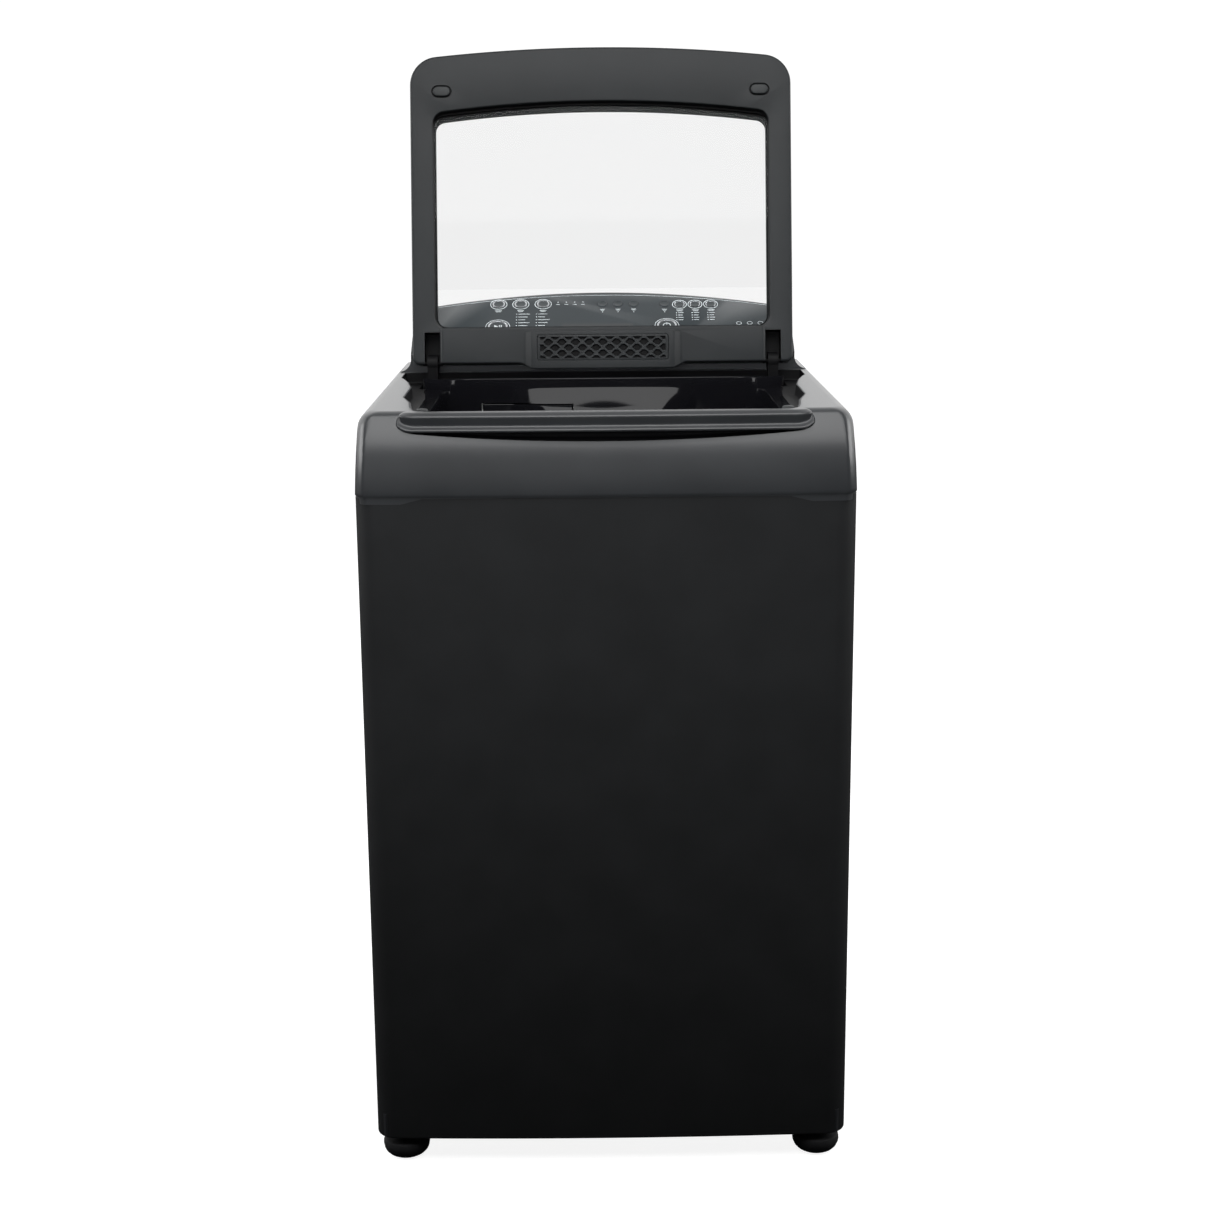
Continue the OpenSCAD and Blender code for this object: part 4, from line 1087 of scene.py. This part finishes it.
def grille():
    """A plate of hexagons, dished from the outside, in front of a black sheet that is painted shade behind
    the cells.
    """
    plate = prism("vent_grille", rounded_rect(82.7, -31.7, 0.2, 3.8, 3.8, 5), -27.4, -24.2, M["lid"],
                  round_bottom=0.6)
    pitch, row, half, tall, wall = 17.2, 7.0, 8.0, 5.0, 0.84
    hexagon = wall * np.array([(-half, 0), (-half * 0.34, -tall), (half * 0.34, -tall), (half, 0),
                               (half * 0.34, tall), (-half * 0.34, tall)])
    cells = []
    for j in range(-2, 3):
        for i in range(-5, 6):
            mid = np.array([(i + (0 if j % 2 else 0.5)) * pitch, -15.7 + j * row])
            if abs(mid[0]) > 84:
                continue
            rings = [level(np.clip(mid + hexagon * scale, (-79, -29.4), (79, -2.2)), n)
                     for scale, n in ((0.99, -28.0), (0.98, -27.3), (0.88, -26.4), (0.88, -23))]
            if np.ptp(rings[0][:, 0]) > 3 and np.ptp(rings[0][:, 1]) > 1.5:
                cells.append(loft("cell", rings, M["dark"], capped=True, merge=0.01))
    plate = cut(plate, *cells[:1], join("cells", cells[1:]))
    # the thin black sheet behind the cells is painted shade, where the inside of the vent is dark
    back = prism("vent_shade_sheet", rounded_rect(81, -30.6, -1.0, 3, 3, 5), -24.1, -23.7, M["black"])
    return join("vent_grille", [plate, back])


put(moved(lid_band(), LID), "lid", "graphite_plastic", "lid_band")
put(moved(grille(), LID), "lid", "dark_plastic", "lid_grille")


# ---------- plate that closes the console's back ----------

INLET_X, INLET_Z = 60, 905


def rear_cover():
    lo, hi = box_mm("console_rear_cover")
    valves_z = sum(corner[2] for corner in box_mm("inlet_valves")) / 2
    upright = Matrix.Translation((0, lo[1] * MM, 0)) @ Matrix.Rotation(-math.pi / 2, 4, "X")
    outline = bowed_front(hi[0], -lo[2], -hi[2], 8, 3, BOW)
    plate = prism("console_rear_plate", outline, 0, hi[1] - lo[1], M["dark"], round_top=0.7, place=upright)
    # round holes for the inlets and the cable, and a row of air slots
    holes = [arc(x, -z, r, 0, 360, 40)[:-1]
             for x, z, r in ((-INLET_X, valves_z, 17), (INLET_X, valves_z, 17), (180, INLET_Z, 8))]
    holes += [rounded_rect(2, -930, -900, 1.9, 1.9, 5) + (x + 2, 0) for x in range(-200, -139, 8)]
    return cut(plate, *(prism("hole", hole, -1, 4, M["dark"], place=upright) for hole in holes))


put(rear_cover(), "cabinet_body", "dark_plastic", "console_rear_cover")


# ---------- inside: basket, balance ring, pulsator, springs ----------

WASH = Matrix.Translation((0, (FRONT + WASH_T) * MM, 0))


def basket():
    """Stainless wall with punched drain holes, in rows between two plain bands."""
    walls = ((0, 216.0), (1, 217.2))
    around, up = 84, 26
    z0, z1 = BASKET_LO[2], BASKET_HI[2]
    low, high = z0 + 44, z1 - 40
    cell_h = (high - low) / up
    n_hole, hole_r = 8, 0.19
    hole = [(hole_r * math.cos(t), hole_r * math.sin(t))
            for t in np.linspace(0, 2 * math.pi, n_hole, endpoint=False) + math.pi / n_hole]
    verts, faces, grid = [], [], {}

    def vertex(key, u, v, r):
        if key not in grid:
            grid[key] = len(verts)
            t = 2 * math.pi * u / around
            verts.append((r * math.cos(t), r * math.sin(t), v))
        return grid[key]

    aspect = (2 * math.pi * walls[0][1] / around) / cell_h
    for i in range(around):
        for j in range(up):
            zc = low + (j + 0.5) * cell_h
            punched = (i + j) % 2 == 0
            for side, r in walls:
                corner = [vertex((side, (i + a) % around, j + b), i + a, low + (j + b) * cell_h, r)
                          for a, b in ((1, 0), (1, 1), (0, 1), (0, 0))]
                if not punched:
                    faces.append(corner if side else corner[::-1])
                    continue
                inner = [vertex(("h", side, i, j, k), i + 0.5 + h[0], zc + h[1] * cell_h * aspect, r)
                         for k, h in enumerate(hole)]
                # corners from lower right round to lower left; the hole starts just above the right
                for k, a, b in ((0, 7, 0), (1, 1, 2), (2, 3, 4), (3, 5, 6)):
                    faces.append([corner[k], inner[b], inner[a]] if side else [corner[k], inner[a], inner[b]])
                    f = [corner[k], corner[(k + 1) % 4], inner[(b + 1) % n_hole], inner[b]]
                    faces.append(f if side else f[::-1])
            if punched:
                for k in range(n_hole):
                    m = (k + 1) % n_hole
                    faces.append([grid[("h", 0, i, j, k)], grid[("h", 0, i, j, m)],
                                  grid[("h", 1, i, j, m)], grid[("h", 1, i, j, k)]])
    # plain bands below and above, with a pressed bead in each
    bead = [0, 0, -1.6, 0, 0, 0]
    last = len(bead) - 1
    for end, rows in ((0, [low, low - 10, low - 13, low - 16, low - 26, z0]),
                      (up, [high, high + 8, high + 11, high + 14, high + 26, z1])):
        def key(side, column, row):
            place = (side, column % around, end)
            return ("b", *place, row) if row else place

        for i in range(around):
            for k in range(last):
                ids = [vertex(key(side, i + a, row), i + a, rows[row], r + bead[row])
                       for side, r in walls for a, row in ((0, k), (1, k), (1, k + 1), (0, k + 1))]
                faces += [ids[:4], ids[4:]]
            faces.append([grid[key(s, i + a, last)] for s, a in ((0, 0), (0, 1), (1, 1), (1, 0))])
    return moved(make("basket_wall", verts, faces, M["stainless"], sharp=30), WASH)


put(basket(), "basket_unit", "stainless", "basket")


def balance_ring():
    profile = filleted([(190, 738, 0), (222, 738, 1.5), (224, 742, 2), (224, 761, 6), (218, 768, 5),
                        (206, 769, 4), (195, 767.5, 6), (188, 761, 5), (188, 745, 3), (190, 738, 0)], 5)[:-1]
    return moved(lathe("balance_ring_moulding", profile, M["grey"], 144), WASH)


put(balance_ring(), "basket_unit", "grey_plastic", "balance_ring")


def pulsator():
    """A dish with six smooth vanes, as a height field in polar form."""
    rays, outer = 180, 170
    base = np.array([(0, 331), (12, 331.6), (24, 330), (40, 321), (56, 297), (70, 288), (90, 282),
                     (130, 279.5), (160, 278), (167, 276.5), (170, 272)])
    ang = np.linspace(0, 2 * math.pi, rays, endpoint=False)

    def turn(r, z):
        return np.column_stack([r * np.cos(ang), r * np.sin(ang), np.zeros(rays) + z])

    rings = []
    for r in np.concatenate([np.linspace(4, 160, 44), [164, 167.5, 169.6, outer]]):
        z = np.interp(r, base[:, 0], base[:, 1])
        twist = 0.22 * (r / outer) ** 1.2
        off = np.abs(((ang - twist) % (math.pi / 3)) - math.pi / 6) * r
        width = 8 + r * 0.035
        vane = np.exp(-(off / width) ** 4) * 17 * smooth((r - 34) / 30) * smooth((158 - r) / 26)
        dimple = 0.8 * np.cos(ang * 36) * smooth((r - 100) / 12) * smooth((150 - r) / 12)
        rings.append(turn(r, z + vane + dimple))
    rings += [turn(r, z) for r, z in (
        (169.4, 270), (150, 265), (60, 264.5), (11.3, 264.2), (11.3, 284), (6, 284))]
    return moved(loft("pulsator_dish", rings, M["white"], capped=True), WASH)


put(pulsator(), "pulsator_drive", "grey_plastic", "pulsator")


def tube_along(name, path, radius, mat, sides):
    """A closed tube along a path of points."""
    tangent = np.gradient(path, axis=0)
    tangent /= np.linalg.norm(tangent, axis=1)[:, None]
    side = np.cross(tangent, (0, 0, 1.0))
    side /= np.linalg.norm(side, axis=1)[:, None]
    up = np.cross(side, tangent)
    a = np.linspace(0, 2 * math.pi, sides, endpoint=False)
    rings = [p + radius * (np.outer(np.cos(a), s) + np.outer(np.sin(a), u))
             for p, s, u in zip(path, side, up)]
    return loft(name, rings, mat, capped=True)


def springs():
    """Coils with a closed turn at either end."""
    low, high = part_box("suspension_springs")
    wire, coil_r, rod_x, rod_t = 1.6, 12.6, 225, 222
    z0, z1 = low.z / MM + wire, high.z / MM - wire
    turns = np.linspace(0, 8, 161)
    a = turns * 2 * math.pi
    climb = (0.06 * smooth(turns / 1.2) + 0.88 * np.clip((turns - 1) / 6, 0, 1)
             + 0.06 * smooth((turns - 6.8) / 1.2))
    coils = []
    for x in (-rod_x, rod_x):
        for t in (WASH_T - rod_t, WASH_T + rod_t):
            path = np.column_stack([x + coil_r * np.cos(a), FRONT + t + coil_r * np.sin(a),
                                    z0 + (z1 - z0) * climb])
            coils.append(tube_along("coil", path, wire, M["zinc"], 8))
    obj = put(join("suspension_coils", coils), "cabinet_body", "zinc_steel", "suspension_springs")
    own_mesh(obj)


springs()


# ---------- feet, rear fittings, small parts ----------

def foot(name, x, t):
    """A rubber pad with grip flutes, under its collar and threaded stem."""
    profile = [(0, 0), (15, 0), (18.5, 0.7), (22, 2.8), (25, 6), (26.8, 9.6), (27.5, 13.5), (27.3, 17),
               (26.2, 19.4), (24, 20.6), (13, 21.2), (12, 21.6), (11, 22), (9.3, 22), (9, 22.4),
               (9, 31.2), (8.6, 31.7), (5, 31.7)]
    for z in range(33, 77, 2):
        profile += [(5.0, z - 0.9), (4.45, z), (5.0, z + 0.9)]
    profile += [(4.6, 76), (0, 76)]
    obj = lathe(name, profile, M["rubber"], 60, (x, FRONT + t))
    for v in obj.data.vertices:
        dx, dy = v.co.x / MM - x, v.co.y / MM - FRONT - t
        if math.hypot(dx, dy) > 26.5:
            k = 1 - 0.014 * (0.5 + 0.5 * math.cos(15 * math.atan2(dy, dx)))
            v.co.x, v.co.y = (x + dx * k) * MM, (FRONT + t + dy * k) * MM
    return obj


FOOT_X, FOOT_T0, FOOT_T1 = 242, 36, 520
put(foot("foot_pad_front_left", -FOOT_X, FOOT_T0), "foot_left", "rubber", "foot_front_left")
put(foot("foot_pad_front_right", FOOT_X, FOOT_T0), "foot_right", "rubber", "foot_front_right")
put(join("foot_pads_rear", [foot("foot", x, FOOT_T1) for x in (-FOOT_X, FOOT_X)]), "cabinet_body", "rubber",
    "feet_rear")
rests = [prism("rest", pill(x, FRONT + 73, 14, 14.01), DECK - 13.9, DECK - 2, M["pad"], round_top=2.5)
         for x in (-203, 203)]
put(join("lid_rests", rests), "cabinet_body", "rubber", "landing_pads")


def turned(obj, x, y, z):
    """Turns a lathed piece so that its axis points to +Y, and moves its origin to a place."""
    return moved(obj, Matrix.Translation((x * MM, y * MM, z * MM)) @ Matrix.Rotation(-math.pi / 2, 4, "X"))


def valves():
    """Two threaded water inlets with a strainer in each mouth."""
    bore, bars = 9.4, 3.4
    end = box_mm("inlet_valves")[1][1] - BACK
    profile = [(9.5, -8), (15.4, -8), (15.8, -7.5), (15.8, 1.6), (15.2, 2), (12.3, 2.2)]
    for k in range(8):
        z = 4.2 + 2.3 * k
        profile += [(12.3, z - 0.9), (13.2, z), (12.3, z + 0.9)]
    profile += [(12.3, end - 0.8), (11.8, end), (9.9, end), (9.5, end - 0.4)]
    parts = []
    for x in (-INLET_X, INLET_X):
        parts.append(turned(lathe("inlet", profile, M["white"], 56), x, BACK, INLET_Z))
        parts.append(block("body", (x - 15, BACK - 36, INLET_Z - 15), (x + 15, BACK - 8.2, INLET_Z + 15),
                           M["white"], 2.5))
        parts.append(lathe("port", [(0, 881), (6, 881), (6, 892), (0, 892)], M["white"], 32, (x, BACK - 26)))
        for k in range(-2, 3):
            w, z = math.sqrt(bore ** 2 - (k * bars) ** 2), INLET_Z + k * bars
            parts.append(block("mesh", (x - w, BACK + 6, z - 0.5), (x + w, BACK + 7, z + 0.5), M["dark"],
                               0.2, segments=1))
    return join("inlet_valve_bodies", parts)


put(valves(), "cabinet_body", "grey_plastic", "inlet_valves")


def drain():
    """A flanged spigot with barbs for the hose."""
    start, end = (corner[1] - BACK for corner in box_mm("drain_outlet"))
    profile = [(12, start), (18, start), (18, 0.9), (25.4, 1.25), (26, 1.9), (26, 3.6), (25.2, 4.2),
               (16, 4.4), (14.2, 5)]
    for k in range(4):
        z = 6.2 + 3.9 * k
        profile += [(14.1, z), (15.0, z + 2.5), (14.1, z + 3.1)]
    profile += [(14.1, end - 1), (13.4, end), (12.4, end), (12, end - 0.4)]
    return turned(lathe("drain_spigot", profile, M["dark"], 64), -190, BACK, 90)


put(drain(), "cabinet_body", "dark_plastic", "drain_outlet")


def screw_heads():
    """Cross-head screws on the rear flanges and the console's rear plate: x, lift, z, radius, height."""
    places = [(sx * (CAB_HI[0] - 11), 1.2, z, 4.0, 2.4) for sx in (-1, 1) for z in (60, 240, 420, 600, 770)]
    places += [(x, 2.0, 953, 3.5, 2.0) for x in (-180, -60, 60, 180)]
    parts = []
    for x, lift, z, r, tall in places:
        profile = [(r * a, tall * b) for a, b in (
            (0, 0), (1, 0), (1, 0.35), (0.93, 0.7), (0.7, 0.93), (0.35, 1), (0, 1))]
        head = lathe("head", profile, M["zinc"], 28)
        long, thin = r * 0.62, 0.45
        arms = [block("slot", (-long, -thin, tall * 0.35), (long, thin, tall + 1), M["zinc"]),
                block("slot", (-thin, -long, tall * 0.34), (thin, long, tall + 1.1), M["zinc"])]
        parts.append(turned(cut(head, *arms), x, BACK + lift, z))
    return join("screw_heads", parts)


put(screw_heads(), "cabinet_body", "zinc_steel", "screws")


# ---------- camera, light and floor ----------

def camera():
    cam = add_object("camera", bpy.data.cameras.new("camera"))
    bpy.context.scene.camera = cam
    cam.data.sensor_width = 36
    cam.data.lens = 59.3674                # in mm, as the sensor width
    cam.data.clip_end = 60
    cam.location = (-0.0152, FRONT * MM - 2.139, 1.155)      # 2.1 m in front, looking slightly down
    cam.rotation_euler = [math.radians(v) for v in (77.1646, 0.4510, -0.5023)]


def area(name, place, aim, size, power):
    light = bpy.data.lights.new(name, "AREA")
    light.shape, light.size, light.size_y = "RECTANGLE", size[0], size[1]
    light.energy = power
    obj = add_object(name, light)
    obj.visible_camera = False
    obj.location = place
    obj.rotation_euler = (Vector(aim) - Vector(place)).to_track_quat("-Z", "Y").to_euler()
    return obj


camera()
area("light_top", (0, -1.0, 2.0), (0, -0.4, 0.9), (1.6, 1.1), 24)
front_light = area("light_front", (-0.3, -2.6, 1.2), (0, -0.28, 0.90), (2.6, 0.9), 5.8)
front_light.data.spread = math.radians(34)
front_light.visible_glossy = False
area("light_left", (-2.6, 0.1, 1.7), (0, 0, 0.7), (1.6, 1.6), 38)
area("light_right", (2.6, 0.1, 1.7), (0, 0, 0.7), (1.6, 1.6), 37)
area("light_back", (0, 3.0, 2.0), (0, 0, 0.6), (2.4, 1.4), 36).visible_glossy = False


def camera_or_else(tree, seen, other, output):
    """Camera rays meet the first shader, all other rays the second."""
    path = tree.nodes.new("ShaderNodeLightPath")
    mix = tree.nodes.new("ShaderNodeMixShader")
    tree.links.new(path.outputs["Is Camera Ray"], mix.inputs[0])
    tree.links.new(other.outputs[0], mix.inputs[1])
    tree.links.new(seen.outputs[0], mix.inputs[2])
    tree.links.new(mix.outputs[0], tree.nodes[output].inputs["Surface"])


def studio_world():
    """White to look at. What the machine mirrors is bright behind it and dim in front."""
    world = bpy.data.worlds.new("studio")
    bpy.context.scene.world = world
    world.use_nodes = True
    nt = world.node_tree
    seen = nt.nodes["Background"]
    set_inputs(seen, Color=(1, 1, 1, 1), Strength=1.05)
    coords = nt.nodes.new("ShaderNodeTexCoord")
    split = nt.nodes.new("ShaderNodeSeparateXYZ")
    nt.links.new(coords.outputs["Generated"], split.inputs["Vector"])
    strength = nt.nodes.new("ShaderNodeMapRange")
    strength.interpolation_type = "SMOOTHSTEP"
    set_inputs(strength, From_Min=-0.2, From_Max=0.8, To_Min=0.03, To_Max=1.7)
    nt.links.new(split.outputs["Y"], strength.inputs["Value"])
    mirrored = nt.nodes.new("ShaderNodeBackground")
    nt.links.new(strength.outputs["Result"], mirrored.inputs["Strength"])
    camera_or_else(nt, seen, mirrored, "World Output")


def studio_floor():
    """A pale floor that runs into the background, with a faint shadow under the machine."""
    mat = bpy.data.materials.new("studio_floor")
    mat.use_nodes = True
    nt = mat.node_tree
    seen = nt.nodes["Principled BSDF"]
    set_inputs(seen, Base_Color=(0.4, 0.4, 0.4, 1), Roughness=0.9, Emission_Color=(1, 1, 1, 1),
               Emission_Strength=0.88)
    bounce = nt.nodes.new("ShaderNodeBsdfDiffuse")
    set_inputs(bounce, Color=(0.03, 0.03, 0.03, 1))
    camera_or_else(nt, seen, bounce, "Material Output")
    mesh = bpy.data.meshes.new("studio_floor")
    mesh.from_pydata([(-15, -15, 0), (15, -15, 0), (15, 15, 0), (-15, 15, 0)], [], [(0, 1, 2, 3)])
    mesh.materials.append(mat)
    add_object("studio_floor", mesh)


studio_world()
studio_floor()
bpy.context.scene.view_settings.view_transform = "Standard"
